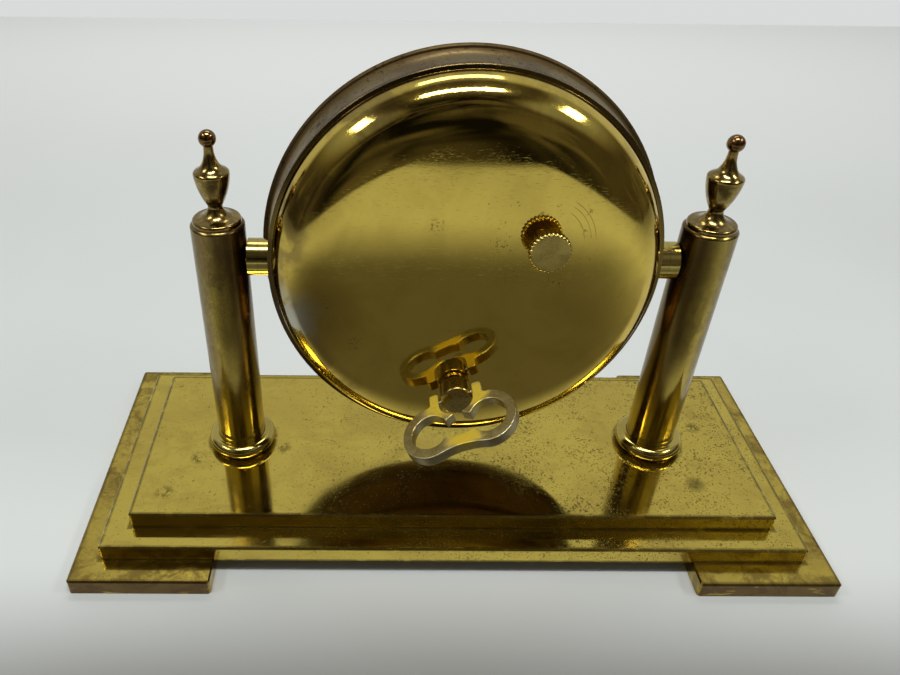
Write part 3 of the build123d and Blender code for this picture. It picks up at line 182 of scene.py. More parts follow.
# Material helpers
class Graph:
    """A small wrapper that adds shader nodes and links them."""

    def __init__(self, name):
        self.material = bpy.data.materials.new(name)
        self.material.use_nodes = True
        self.tree = self.material.node_tree
        self.tree.nodes.clear()
        self.out = self.tree.nodes.new("ShaderNodeOutputMaterial")
        self.where = self.tree.nodes.new("ShaderNodeTexCoord").outputs["Object"]

    def node(self, kind, **settings):
        made = self.tree.nodes.new(kind)
        for key, value in settings.items():
            setattr(made, key, value)
        return made

    def put(self, socket, value):
        if isinstance(value, bpy.types.NodeSocket):
            self.tree.links.new(value, socket)
        else:
            socket.default_value = value

    def scaled(self, x, y=None, z=None):
        """Object coordinates in millimetres, each axis times its scale."""
        made = self.node("ShaderNodeMapping")
        self.put(made.inputs["Vector"], self.where)
        made.inputs["Scale"].default_value = (
            to_mm * x, to_mm * (x if y is None else y), to_mm * (x if z is None else z)
        )
        return made.outputs["Vector"]

    def noise(self, vector, detail=4, rough=0.55, distort=0.0, seed=0.0):
        made = self.node("ShaderNodeTexNoise", noise_dimensions="4D")
        self.put(made.inputs["Vector"], vector)
        made.inputs["W"].default_value = seed
        made.inputs["Scale"].default_value = 1.0
        made.inputs["Detail"].default_value = detail
        made.inputs["Roughness"].default_value = rough
        made.inputs["Distortion"].default_value = distort
        return made.outputs["Fac"]

    def cells(self, vector):
        made = self.node("ShaderNodeTexVoronoi")
        self.put(made.inputs["Vector"], vector)
        made.inputs["Scale"].default_value = 1.0
        return made.outputs["Distance"]

    def step(self, value, low, high, to_low=0.0, to_high=1.0):
        """A soft step from to_low at low to to_high at high, in either order."""
        made = self.node("ShaderNodeMapRange", interpolation_type="SMOOTHSTEP")
        self.put(made.inputs["Value"], value)
        made.inputs["From Min"].default_value = low
        made.inputs["From Max"].default_value = high
        made.inputs["To Min"].default_value = to_low
        made.inputs["To Max"].default_value = to_high
        return made.outputs["Result"]

    def math(self, operation, a, b=0.5, c=0.5):
        made = self.node("ShaderNodeMath", operation=operation)
        self.put(made.inputs[0], a)
        self.put(made.inputs[1], b)
        if operation == "MULTIPLY_ADD":
            self.put(made.inputs[2], c)
        return made.outputs[0]

    def tone(self, socket, colour):
        """Link a colour, or set a plain one with its alpha."""
        self.put(socket, colour if isinstance(colour, bpy.types.NodeSocket) else (*colour, 1))

    def mix(self, factor, a, b):
        made = self.node("ShaderNodeMix", data_type="RGBA")
        self.put(made.inputs[0], factor)
        self.tone(made.inputs[6], a)
        self.tone(made.inputs[7], b)
        return made.outputs[2]

    def paint(self, colour, tone, mask, share):
        """Lay a tone over a colour where a mask is, by a share of it."""
        return self.mix(self.math("MULTIPLY", mask, share), colour, tone)

    def off(self, value, target):
        """How far a value is from a target, either way."""
        return self.math("ABSOLUTE", self.math("SUBTRACT", value, target))

    def distance(self, place):
        """Distance from a place, both in millimetres."""
        made = self.node("ShaderNodeVectorMath", operation="DISTANCE")
        self.put(made.inputs[0], self.where)
        made.inputs[1].default_value = tuple(c * mm for c in place)
        return self.math("MULTIPLY", made.outputs["Value"], to_mm)

    def near(self, place, inner, outer):
        """One inside a distance from a place in millimetres, falling to zero outside."""
        return self.step(self.distance(place), inner, outer, 1.0, 0.0)

    def axis(self, letter):
        made = self.node("ShaderNodeSeparateXYZ")
        self.put(made.inputs[0], self.where)
        return made.outputs[letter]

    def radius(self):
        """Distance from the drum's axis in millimetres."""
        made = self.node("ShaderNodeVectorMath", operation="DOT_PRODUCT")
        self.put(made.inputs[0], self.where)
        made.inputs[1].default_value = (0, -sin(LEAN), cos(LEAN))
        height = self.math("SUBTRACT", made.outputs["Value"], PIVOT * mm * cos(LEAN))
        square = self.math("ADD", self.math("MULTIPLY", height, height),
                           self.math("MULTIPLY", self.axis("X"), self.axis("X")))
        return self.math("MULTIPLY", self.math("SQRT", square), to_mm)

    def away(self, half_width, half_depth):
        """Distance inside the outline of a plate in millimetres, less than zero outside."""
        wide = self.math("MULTIPLY_ADD", self.math("ABSOLUTE", self.axis("X")), -to_mm, half_width)
        deep = self.math("MULTIPLY_ADD", self.math("ABSOLUTE", self.axis("Y")), -to_mm, half_depth)
        return self.math("MINIMUM", wide, deep)

    def edge(self, half_width, half_depth, top, foot):
        """One along the top edges of a plate and where its sides meet the plate below."""
        inside = self.away(half_width, half_depth)
        upper = self.step(self.axis("Z"), (top - 0.75) * mm, (top - 0.45) * mm)
        rim = both(self, self.step(inside, 1.3, 0.55), upper)
        seam = self.step(self.axis("Z"), (foot + 0.8) * mm, (foot + 0.35) * mm)
        return any_of(self, rim, seam)

    def bump(self, height, depth, normal=None, strength=1.0):
        made = self.node("ShaderNodeBump")
        made.inputs["Strength"].default_value = strength
        made.inputs["Distance"].default_value = depth * mm
        self.put(made.inputs["Height"], height)
        if normal is not None:
            self.put(made.inputs["Normal"], normal)
        return made.outputs["Normal"]

    def principled(self, colour, roughness, metallic=1.0, normal=None, **more):
        made = self.node("ShaderNodeBsdfPrincipled")
        self.tone(made.inputs["Base Color"], colour)
        self.put(made.inputs["Roughness"], roughness)
        self.put(made.inputs["Metallic"], metallic)
        if normal is not None:
            self.put(made.inputs["Normal"], normal)
        for name, value in more.items():
            self.put(made.inputs[name.replace("_", " ")], value)
        self.tree.links.new(made.outputs["BSDF"], self.out.inputs["Surface"])
        return self.material


def both(g, *values):
    """The product of several masks."""
    out = values[0]
    for value in values[1:]:
        out = g.math("MULTIPLY", out, value)
    return out


def any_of(g, *values):
    """The largest of several masks."""
    out = values[0]
    for value in values[1:]:
        out = g.math("MAXIMUM", out, value)
    return out


BRIGHT = (0.77, 0.60, 0.115)
DULL = (0.66, 0.50, 0.10)
BROWN = (0.20, 0.125, 0.03)
# Edge tint where painted shade takes out the edge gleam
NO_GLEAM = (0.04, 0.025, 0.01)


def aged_brass(name, seed, bright, dull, dark=BROWN, *, tarnish=0.5, roughness=0.1, flecks=0.4, grain=2.0,
               haze=0.1, wave=0.0, marks=None):
    """Polished brass with dull clouds, brown tarnish, dark flecks, scratches and finger marks."""
    g = Graph(name)
    clouds = g.noise(g.scaled(0.035 * grain), 5, 0.6, 0.6, seed)
    mottle = g.noise(g.scaled(0.35 * grain), 8, 0.68, 0.8, seed + 3.1)
    fine = g.noise(g.scaled(2.2), 6, 0.7, 0.0, seed + 7.7)
    dullness = g.step(clouds, 0.38, 0.68)
    colour = g.mix(dullness, bright, dull)
    brown = g.step(g.math("MULTIPLY_ADD", mottle, 0.65, g.math("MULTIPLY", clouds, 0.35)),
                   0.66 - 0.22 * tarnish, 0.80 - 0.16 * tarnish)
    colour = g.paint(colour, dark, brown, 0.75)
    sparse = g.noise(g.scaled(0.11), 5, 0.6, 0.0, seed + 11.0)
    sparse = g.step(sparse, 0.66 - 0.3 * flecks, 0.80 - 0.3 * flecks)
    dots = any_of(g, g.step(g.cells(g.scaled(0.9)), 0.17, 0.10), g.step(g.cells(g.scaled(0.43)), 0.10, 0.055))
    pin = both(g, g.step(fine, 0.62, 0.70), g.step(clouds, 0.42, 0.6))
    spots = any_of(g, both(g, dots, sparse), g.math("MULTIPLY", pin, flecks))
    more_rough = dirt_and_painted_shade = None
    if marks:
        spots, colour, *rest = marks(g, spots, colour)
        more_rough = rest[0] if rest else None
        dirt_and_painted_shade = rest[1] if len(rest) > 1 else None
    colour = g.paint(colour, tuple(c * 0.4 for c in dark), spots, 0.75)
    rub = g.noise(g.scaled(0.5, 4.0, 4.0), 4, 0.6, 0.3, seed + 20)
    rough = g.math("MULTIPLY_ADD", dullness, haze, roughness)
    rough = g.math("MULTIPLY_ADD", brown, 0.16, rough)
    rough = g.math("MULTIPLY_ADD", spots, 0.16, rough)
    rough = g.math("MULTIPLY_ADD", g.step(rub, 0.5, 0.75), 0.04, rough)
    if more_rough is not None:
        rough = g.math("ADD", rough, more_rough)
    normal = g.bump(fine, 0.004, None, 0.5)
    normal = g.bump(spots, -0.01, normal, 0.4)
    normal = g.bump(g.step(rub, 0.6, 0.7), -0.003, normal, 0.4)
    if wave:
        normal = g.bump(g.noise(g.scaled(0.045), 2, 0.4, 0.0, seed + 40), wave, normal, 1.0)
    # Where the marks give a second mask, painted shade with any dirt, the edge gleam is turned down to
    # NO_GLEAM.
    if dirt_and_painted_shade is None:
        return g.principled(colour, rough, 1.0, normal)
    return g.principled(colour, rough, 1.0, normal, Specular_Tint=g.mix(dirt_and_painted_shade, (1, 1, 1), NO_GLEAM))


def give(material, *names):
    """Put one material on carried nodes or on pieces made here."""
    for name in names:
        piece = nodes.get(name) or bpy.data.objects[name]
        piece.data.materials.clear()
        piece.data.materials.append(material)


def plate_marks(size, top, foot, above=None):
    """Dense brown flecks, stains and dirty edges for one of the stepped plates."""
    def marks(g, spots, colour):
        side = g.step(g.axis("X"), 0.06, -0.02, 0.015, 0.075)
        thick = g.step(g.noise(g.scaled(0.07), 5, 0.65, 0, 5.0), 0.38, 0.56)
        grain = g.math("MULTIPLY_ADD", thick, side, g.noise(g.scaled(1.8), 3, 0.6, 0.0, 25.0))
        coarse = g.math("MULTIPLY_ADD", thick, side, g.noise(g.scaled(0.75), 3, 0.65, 0.0, 26.0))
        more = any_of(g, g.step(grain, 0.632, 0.672, 0.0, 0.95), g.step(coarse, 0.675, 0.71, 0.0, 0.9))
        level = BASE_TOP + 0.05
        ragged = g.math("MULTIPLY", g.noise(g.scaled(0.8), 5, 0.7, 0.5, 9.0), 1.7)
        blotch = both(g, g.near((-68.0, 17.0, level), 0.8, 3.8), ragged)
        smudge = g.step(g.noise(g.scaled(0.6), 5, 0.7, 0.6, 19.0), 0.45, 0.52)
        stains = [
            both(g, g.near((x, y, level), reach * 0.2, reach), smudge)
            for x, y, reach in ((47.5, 3.5, 3.4), (78.0, 21.0, 3.4), (71.0, 8.0, 3.0), (-75.0, -6.0, 3.2))
        ]
        film = g.step(g.noise(g.scaled(0.05, 0.09, 0.09), 6, 0.7, 1.0, 27.0), 0.46, 0.64)
        colour = g.paint(colour, (0.47, 0.335, 0.07), film, 0.4)
        worn = g.step(g.noise(g.scaled(0.25), 5, 0.7, 0.0, 29.0), 0.36, 0.50, 0.35, 1.0)
        dirt_and_painted_shade = both(g, g.edge(*size, top, foot), worn)
        if above:
            on_top = g.step(g.axis("Z"), (top - 0.1) * mm, top * mm)
            dirt_and_painted_shade = any_of(g, dirt_and_painted_shade, both(g, g.step(g.away(*above), -1.1, -0.5), worn, on_top))
        collar_edge = 9.2
        for x in (SPACING, -SPACING):
            ring = g.step(g.off(g.distance((x, 0, BASE_TOP)), collar_edge), 1.3, 0.3)
            dirt_and_painted_shade = any_of(g, dirt_and_painted_shade, both(g, ring, worn, worn))
        return any_of(g, spots, more, blotch, *stains, dirt_and_painted_shade), colour
    return marks


def foot_marks(g, spots, colour):
    """Brown patches that leave yellow islands."""
    patch = g.step(g.noise(g.scaled(0.14), 9, 0.74, 0.7, 33.0), 0.42, 0.60)
    front = g.step(g.math("ABSOLUTE", g.axis("Y")), (FEET[1] - 0.3) * mm, FEET[1] * mm)
    front = both(g, front, g.step(g.noise(g.scaled(0.12, 0.12, 0.5), 4, 0.6, 0.5, 35.0), 0.32, 0.42))
    on_top = g.step(g.axis("Z"), (FOOT_TOP - 0.15) * mm, (FOOT_TOP - 0.05) * mm)
    beside = both(g, g.step(g.away(*LOWER), -1.1, -0.5), on_top)
    dirt_and_painted_shade = any_of(g, g.edge(*FEET, FOOT_TOP, -1.0), beside)
    colour = g.paint(colour, (0.20, 0.125, 0.03), patch, 0.75)
    colour = g.paint(colour, (0.10, 0.055, 0.03), front, 0.85)
    return any_of(g, spots, g.math("MULTIPLY", dirt_and_painted_shade, 0.9)), colour


def column_marks(g, spots, colour):
    """Brown patina, rubbed through in a lacy patch; bare metal near the foot."""
    wander = g.math("MULTIPLY_ADD", g.noise(g.scaled(0.12), 4, 0.6, 0.6, 49.0), 0.05, -0.025)
    above = g.step(g.math("ADD", g.axis("Z"), wander), 0.030, 0.050)
    web = g.noise(g.scaled(0.8), 3, 0.6, 1.2, 52.0)
    lines = g.step(g.off(web, 0.5), 0.015, 0.05)
    patches = g.step(g.noise(g.scaled(0.14, 0.14, 0.07), 5, 0.7, 0.6, 53.0), 0.50, 0.58)
    chosen = any_of(g, g.near((SPACING, 7.0, 52.0), 7.0, 17.0), g.near((-SPACING, 7.0, 40.0), 3.0, 14.0))
    rubbed = both(g, any_of(g, patches, g.math("MULTIPLY", chosen, 0.8)), g.step(g.axis("Z"), 0.080, 0.066))
    kept = g.math("SUBTRACT", 1.0, both(g, rubbed, g.math("MULTIPLY_ADD", lines, 0.45, 0.5)))
    mixed = g.step(g.noise(g.scaled(0.4, 0.4, 0.25), 9, 0.75, 0.8, 54.0), 0.36, 0.56, 0.55, 1.0)
    brown = both(g, above, kept, mixed, g.step(g.axis("X"), -0.03, 0.03, 0.55, 1.0))
    colour = g.paint(colour, (0.18, 0.12, 0.042), brown, 0.92)
    wide = g.math("ABSOLUTE", g.axis("X"))
    outside = both(g, g.step(wide, 0.0605, 0.0635), g.step(g.axis("Z"), 0.020, 0.036), mixed)
    colour = g.paint(colour, (0.19, 0.14, 0.065), outside, 0.85)
    # Darker on the side facing the drum, from about 22 mm up.
    inside = both(g, g.step(wide, 0.0585, 0.0560), g.step(g.axis("Z"), 0.022, 0.040))
    colour = g.paint(colour, (0.09, 0.05, 0.018), inside, 0.8)
    return spots, colour, g.math("MULTIPLY", any_of(g, brown, outside, inside), 0.10)


def finial_marks(g, spots, colour):
    """Brown all over, rubbed to yellow in the hollows of the cup."""
    lace = g.step(g.noise(g.scaled(0.5), 8, 0.7, 1.5, 64.0), 0.38, 0.54, 0.35, 1.0)
    high = g.step(g.axis("Z"), 0.1035, 0.1055)
    colour = g.paint(colour, (0.19, 0.125, 0.04), lace, 0.85)
    colour = g.paint(colour, (0.17, 0.085, 0.038), high, 0.75)
    return spots, colour, g.math("MULTIPLY", lace, 0.05)


def on_drum(x, y, z):
    """A place in the drum's own millimetres, as millimetres in the whole clock."""
    return tuple(DRUM @ Vector((x * mm, y * mm, z * mm)) * to_mm)


def cover_marks(g, spots, colour):
    """Scratch arcs and dark flecks round the setting knob, dotted patches, a browner lower half as painted
    reflection, and painted shade on the left, in the rim zone, along the outer edge and under the rim.
    """
    distance = g.distance(on_drum(*KNOB, COVER))
    rings = g.step(g.noise(g.scaled(0.07), 2, 0.5, 1.0, 71.0), 0.52, 0.60)
    sideways = g.step(g.axis("X"), -0.018, -0.024)
    arcs = [
        g.step(g.off(distance, radius), width, width * 0.3)
        for radius, width in ((8.6, 0.10), (10.1, 0.08), (11.2, 0.10))
    ]
    scratch = both(g, any_of(g, *arcs), rings, sideways)
    close = g.step(g.off(distance, 9.5), 4.0, 1.5)
    fleck = both(g, g.step(g.noise(g.scaled(1.1), 3, 0.6, 0.6, 72.0), 0.60, 0.65), close,
                 g.step(g.noise(g.scaled(0.2), 2, 0.5, 0.0, 74.0), 0.45, 0.55))
    patches = [
        g.near(on_drum(x, y, COVER - 0.1), size * 0.3, size)
        for x, y, size in (
            (-26.0, -16.0, 3.2), (-33.0, -6.0, 1.8), (-12.0, -36.0, 2.2), (6.5, 9.5, 2.2), (-8.0, 14.0, 2.6)
        )
    ]
    dotted = both(g, g.step(g.noise(g.scaled(1.6), 3, 0.6, 0.2, 73.0), 0.52, 0.6), any_of(g, *patches))
    hairs = g.noise(g.scaled(0.25, 0.25, 2.2), 2, 0.5, 1.5, 76.0)
    hair = g.step(g.off(hairs, 0.5), 0.006, 0.001)
    hair = both(g, hair, g.step(g.noise(g.scaled(0.09), 3, 0.6, 0.0, 78.0), 0.52, 0.6))
    marks = any_of(g, g.math("MULTIPLY", scratch, 0.7), g.math("MULTIPLY", fleck, 0.85),
                   g.math("MULTIPLY", dotted, 0.6), g.math("MULTIPLY", hair, 0.15))
    # Painted reflection: the lower half of the cover turns browner, as if mirroring the dim floor in front;
    # the noise stains on top are real tarnish.
    low = g.step(g.axis("Z"), 0.092, 0.060)
    stain = g.step(g.noise(g.scaled(0.06), 5, 0.6, 0.8, 79.0), 0.45, 0.65, 0.0, 0.25)
    colour = g.mix(g.math("MULTIPLY_ADD", low, 0.25, stain), colour, (0.44, 0.30, 0.055))
    out = g.radius()
    rim = g.step(out, 36.0, 41.0)
    dust = both(g, rim, g.step(g.noise(g.scaled(1.6), 5, 0.7, 0.3, 81.0), 0.56, 0.66, 0.0, 0.7))
    # Painted shade: darker brown patches in the rim zone, stronger on the +X side.
    rim_painted_shade = both(g, rim, g.step(g.noise(g.scaled(0.09), 4, 0.6, 0.4, 82.0), 0.42, 0.58))
    rim_painted_shade = both(g, rim_painted_shade, g.step(g.axis("X"), -0.03, 0.03, 0.25, 0.75))
    colour = g.mix(rim_painted_shade, colour, (0.25, 0.17, 0.055))
    shade = g.near((38.0, 14.0, 68.0), 3.0, 17.0)
    colour = g.paint(colour, (0.30, 0.20, 0.035), shade, 0.7)
    smear = g.step(g.noise(g.scaled(0.2), 4, 0.6, 0.5, 84.0), 0.38, 0.55)
    blue = both(g, g.near((42.5, 10.0, 66.0), 2.0, 13.0), smear)
    colour = g.paint(colour, (0.42, 0.44, 0.41), blue, 0.75)
    # Painted shade: the outer edge and, lower down, the underside of the rim are darkened, and dark_rim turns
    # their edge gleam down so that no bright reflected lines run round them.
    edge = g.step(out, 45.6, 46.6)
    colour = g.paint(colour, (0.10, 0.06, 0.022), edge, 0.85)
    underside_shade = both(g, g.step(out, 43.5, 45.0), g.step(g.axis("Z"), 0.066, 0.048))
    colour = g.paint(colour, (0.06, 0.035, 0.01), underside_shade, 0.95)
    rough = g.math("MULTIPLY_ADD", dust, 0.06, g.math("MULTIPLY", underside_shade, 0.42))
    rough = g.math("MULTIPLY_ADD", rim, 0.05, rough)
    rough = g.math("MULTIPLY_ADD", edge, 0.12, rough)
    dark_rim = any_of(g, underside_shade, both(g, edge, g.step(g.axis("Z"), 0.110, 0.090)))
    return any_of(g, spots, marks, g.math("MULTIPLY", dust, 0.3)), colour, rough, dark_rim


def band_marks(g, spots, colour):
    """Dark specks all over; the underside is browner and duller as painted shade, and the outer rim is
    darker.
    """
    # Painted shade: the underside of the band is darkened brown.
    underside_shade = g.step(g.axis("Z"), 0.066, 0.040)
    speck = both(g, g.step(g.noise(g.scaled(1.0), 3, 0.6, 0.0, 86.0), 0.56, 0.64),
                 g.step(g.noise(g.scaled(0.12), 4, 0.6, 0.0, 87.0), 0.42, 0.56))
    colour = g.paint(colour, (0.10, 0.06, 0.03), underside_shade, 0.8)
    # A darker outer rim.
    rim = g.step(g.radius(), 47.7, 48.6)
    colour = g.paint(colour, (0.08, 0.05, 0.02), rim, 0.75)
    # worn here is the painted underside shade together with the darker rim; it also turns their edge gleam
    # down.
    worn = any_of(g, underside_shade, rim)
    return any_of(g, spots, g.math("MULTIPLY", speck, 0.9)), colour, g.math("MULTIPLY", worn, 0.4), worn


base_brass = aged_brass(
    "base_brass", 2.0, BRIGHT, DULL, tarnish=0.30, roughness=0.05, grain=1.0, wave=0.05,
    marks=plate_marks(UPPER, BASE_TOP, LOWER_TOP),
)
lower_brass = aged_brass(
    "lower_brass", 14.0, BRIGHT, DULL, tarnish=0.40, roughness=0.07, flecks=0.45, grain=1.0, haze=0.12,
    wave=0.05, marks=plate_marks(LOWER, LOWER_TOP, FOOT_TOP, UPPER),
)
foot_brass = aged_brass(
    "foot_brass", 31.0, (0.70, 0.53, 0.10), (0.48, 0.34, 0.07), roughness=0.12, flecks=0.6, grain=1.3,
    wave=0.05, marks=foot_marks,
)
column_brass = aged_brass(
    "column_brass", 47.0, (0.54, 0.41, 0.085), (0.40, 0.30, 0.062), (0.14, 0.085, 0.025), tarnish=0.45,
    roughness=0.09, grain=1.8, marks=column_marks,
)
collar_brass = aged_brass("collar_brass", 55.0, (0.58, 0.46, 0.12), (0.42, 0.32, 0.08), flecks=0.3)
boss_brass = aged_brass(
    "boss_brass", 58.0, (0.60, 0.48, 0.14), (0.44, 0.34, 0.09), (0.16, 0.10, 0.03), roughness=0.12, wave=0.03,
)
finial_brass = aged_brass(
    "finial_brass", 61.0, (0.52, 0.40, 0.12), (0.36, 0.26, 0.08), (0.12, 0.06, 0.025), flecks=0.3, grain=2.6,
    marks=finial_marks,
)
cover_brass = aged_brass(
    "cover_brass", 77.0, (0.78, 0.585, 0.115), (0.69, 0.51, 0.10), tarnish=0.12, roughness=0.022, flecks=0.30,
    grain=1.0, haze=0.03, wave=0.03, marks=cover_marks,
)
band_brass = aged_brass(
    "band_brass", 83.0, (0.24, 0.175, 0.075), (0.16, 0.11, 0.05), (0.07, 0.038, 0.018), tarnish=0.6,
    roughness=0.18, flecks=0.7, grain=3.0, marks=band_marks,
)
knob_brass = aged_brass(
    "knob_brass", 91.0, (0.52, 0.40, 0.11), (0.38, 0.28, 0.08), roughness=0.22, flecks=0.5, grain=3.0,
)
hub_brass = aged_brass(
    "hub_brass", 95.0, (0.46, 0.35, 0.10), (0.28, 0.20, 0.06), (0.06, 0.035, 0.015), tarnish=0.75,
    roughness=0.2, grain=3.0,
)
movement_brass = aged_brass(
    "movement_brass", 99.0, (0.82, 0.64, 0.26), (0.74, 0.56, 0.22), (0.4, 0.26, 0.1), tarnish=0.15,
    roughness=0.2, flecks=0.1, grain=1.5,
)

# The way the flat faces of the key's bow look, at rest
BOW_FACE = (0.404, -0.043, 0.910)


def worn_nickel():
    """Grey plating, pitted, worn through to brass at the horns and the middle of the bar; its edge faces are
    darkened as painted shade.
    """
    g = Graph("worn_nickel")
    places = ((4.6, 24.0, 48.6, 9.0), (-2.4, 24.0, 51.0, 8.0), (0.6, 36.6, 50.2, 8.0))
    worn = any_of(g, *[g.near((x, y, z), size * 0.1, size) for x, y, z, size in places])
    clouds = g.noise(g.scaled(0.35), 6, 0.65, 0.4, 103.0)
    fine = g.noise(g.scaled(3.0), 5, 0.7, 0.0, 104.0)
    ragged = g.math("MULTIPLY_ADD", g.noise(g.scaled(0.45), 5, 0.65, 0.4, 105.0), 1.2, worn)
    colour = g.mix(g.step(clouds, 0.38, 0.62), (0.66, 0.62, 0.38), (0.48, 0.41, 0.20))
    brass = g.step(ragged, 0.80, 1.35)
    colour = g.mix(brass, colour, (0.92, 0.70, 0.08))
    facing = g.node("ShaderNodeVectorMath", operation="DOT_PRODUCT")
    g.put(facing.inputs[0], g.node("ShaderNodeNewGeometry").outputs["Normal"])
    facing.inputs[1].default_value = BOW_FACE
    # Painted shade: faces turned away from the bow's flat faces come out darker.
    side = g.step(g.math("ABSOLUTE", facing.outputs["Value"]), 0.85, 0.45)
    colour = g.paint(colour, (0.17, 0.12, 0.045), side, 0.7)
    where = any_of(g, g.step(clouds, 0.42, 0.6), g.math("MULTIPLY", side, 0.8))
    pits = both(g, g.step(fine, 0.56, 0.64), where)
    colour = g.paint(colour, (0.07, 0.045, 0.02), pits, 0.8)
    rough = g.math("MULTIPLY_ADD", pits, 0.2, g.math("MULTIPLY_ADD", clouds, 0.2, 0.22))
    metallic = g.math("MULTIPLY_ADD", brass, -0.4, 0.95)
    return g.principled(colour, rough, metallic, g.bump(pits, -0.02, g.bump(fine, 0.006)))


key_metal = worn_nickel()


def plain_metal(name, colour, roughness, seed):
    g = Graph(name)
    grain = g.noise(g.scaled(0.8, 6.0, 6.0), 4, 0.6, 0.2, seed)
    tone = g.mix(g.step(grain, 0.35, 0.7), colour, tuple(c * 0.82 for c in colour))
    return g.principled(tone, g.math("MULTIPLY_ADD", grain, 0.12, roughness), 1.0, g.bump(grain, 0.004))


steel = plain_metal("steel", (0.60, 0.60, 0.61), 0.22, 1.0)
blue_steel = plain_metal("blue_steel", (0.12, 0.14, 0.26), 0.25, 5.0)


def dial_paint():
    g = Graph("dial_paint")
    age = g.noise(g.scaled(0.06), 5, 0.6, 0.3, 8.0)
    tone = g.mix(g.step(age, 0.4, 0.75), (0.86, 0.83, 0.73), (0.78, 0.72, 0.58))
    return g.principled(tone, 0.5, 0.0, g.bump(g.noise(g.scaled(4.0), 3), 0.003))


def black_paint():
    g = Graph("black_paint")
    grain = g.noise(g.scaled(2.0), 4, 0.6, 0.0, 3.0)
    tone = g.mix(g.step(grain, 0.4, 0.7), (0.012, 0.012, 0.014), (0.03, 0.03, 0.03))
    return g.principled(tone, 0.35, 0.0, g.bump(grain, 0.003))


def clear_glass():
    g = Graph("clear_glass")
    smear = g.noise(g.scaled(0.08), 4, 0.6, 0.4, 6.0)
    return g.principled((0.97, 0.985, 0.98), g.step(smear, 0.4, 0.8, 0.01, 0.05), 0.0, None,
                        Transmission_Weight=1.0, IOR=1.5)


dial_enamel = dial_paint()
hand_black = black_paint()
glass_clear = clear_glass()


# Columns, collars and finials
def upright(x, z):
    return Matrix.Translation((x * mm, 0, z * mm))


column_profile = soften(
    [(0, COLUMN_HEIGHT), (COLUMN_RADIUS - 0.58, COLUMN_HEIGHT), (COLUMN_RADIUS, COLUMN_HEIGHT - 0.55),
     (COLUMN_RADIUS, 0), (0, 0)],
    0.22, steps=3,
)
collar_profile = soften(
    [(6.63, 4.1)] + arc3((7.13, 3.975), (9.35, 2.175), (8.1, 0.25), 24) + [(8.1, 0), (6.63, 0)],
    0.08, True, 3, 30,
)
finial_profile = soften(
    [(0, 0.0), (5.9, 0), (5.9, 0.45)]
    + arc3((5.88, 0.55), (5.7, 1.02), (5.2, 1.25), 10)
    + arc3((5.1, 1.27), (2.7, 2.35), (1.75, 4.0), 24)
    + arc3((1.75, 4.5), (3.44, 8.3), (4.2, 12.1), 28)
    + [(4.2, 12.55), (4.14, 12.8), (3.79, 13.15), (3.3, 13.4), (2.7, 13.85), (2.3, 14.3), (2.0, 14.75),
       (1.8, 15.2), (1.58, 15.7), (1.42, 16.2), (1.29, 16.7), (1.2, 17.2), (1.14, 17.7), (1.11, 18.3),
       (1.1, 19.0)]
    + arc(0, 20.71, 2.03, -57.2, 90, 20),
    0.12, steps=3, sharpest=24,
)
finial_profile[-1] = (0, finial_profile[-1][1])
for side, sign in (("left", -1), ("right", 1)):
    x = sign * SPACING
    column = lathe(f"turned_column_{side}", column_profile, upright(x, BASE_TOP), 128)
    collar = lathe(f"turned_collar_{side}", collar_profile, upright(x, BASE_TOP), 128, True)
    finial = lathe(f"turned_finial_{side}", finial_profile, upright(x, BASE_TOP + COLUMN_HEIGHT), 128)
    for piece, node, material in (
        (column, "column", column_brass), (collar, "collar", collar_brass), (finial, "finial", finial_brass)
    ):
        piece.data.materials.append(material)
        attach(piece, "base")
        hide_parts(f"{node}_{side}")

# Drum shell
band_profile = soften(
    [(45.0, 6.2), (45.0, -5.6), (38.4, -5.6), (38.4, -6.4), (46.2, -6.4), (46.2, -4.6), (48.7, -4.6)]
    + arc3((48.7, -4.5), (47.3, -1.4), (46.7, 4.9), 24)
    + [(46.7, 5.0), (45.8, 5.0), (45.8, 6.2)],
    0.12, True, 3, 30,
)
band = lathe("turned_band", band_profile, DRUM, 256, True)
cover_outer = (
    [(46.0, 5.0), (47.27, 5.0), (47.27, 5.45), (47.02, 5.6), (47.27, 5.8), (47.27, 6.3)]
    + [(46.3, 6.3)]
    + arc(36.6, 4.2, 9.9, 12.6, 62, 30)
    + bend((41.248, 12.941), (38.9, COVER), (31.5, COVER), [0.06 + 0.07 * k for k in range(13)] + [0.95, 1.0])
)
cover_inner = (
    [(0, 13.2), (36.6, 13.2)]
    + arc(36.6, 4.2, 9.0, 88, 14, 20)
    + [(45.34, 6.3), (45.85, 6.2), (45.85, 5.0)]
)
cover_profile = soften([(0, COVER), (20, COVER)] + cover_outer[::-1], 0.1, steps=3, sharpest=30)
cover = lathe("pressed_cover", cover_profile + cover_inner[::-1], DRUM, 256)
bezel_profile = soften(
    [(43.6, -12.6), (43.6, -11.6), (44.75, -11.6), (44.75, -9.3), (46.25, -7.45), (46.25, -4.6),
     (49.17, -4.6), (49.57, -5.0), (49.57, -5.9), (48.3, -6.3)]
    + arc3((48.25, -6.5), (46.95, -10.9), (43.9, -12.6), 20),
    0.12, True, 3, 30,
)
bezel = lathe("turned_bezel", bezel_profile, DRUM, 256, True)
dome_r, dome_rise = 43.55, 2.6
dome = (dome_r**2 + dome_rise**2) / (2 * dome_rise)
half = math.degrees(math.asin(dome_r / dome))
glass_profile = (
    arc(0, -11.6 - dome_rise + dome, dome, -90, -90 + half, 24)
    + [(44.7, -11.6), (44.7, -10.3)]
    + arc(0, -10.3 - dome_rise + dome, dome, -90 + half, -90, 24)
)
glass_profile[0] = (0, glass_profile[0][1])
glass_profile[-1] = (0, glass_profile[-1][1])
glass = lathe("domed_glass", glass_profile, DRUM, 192)
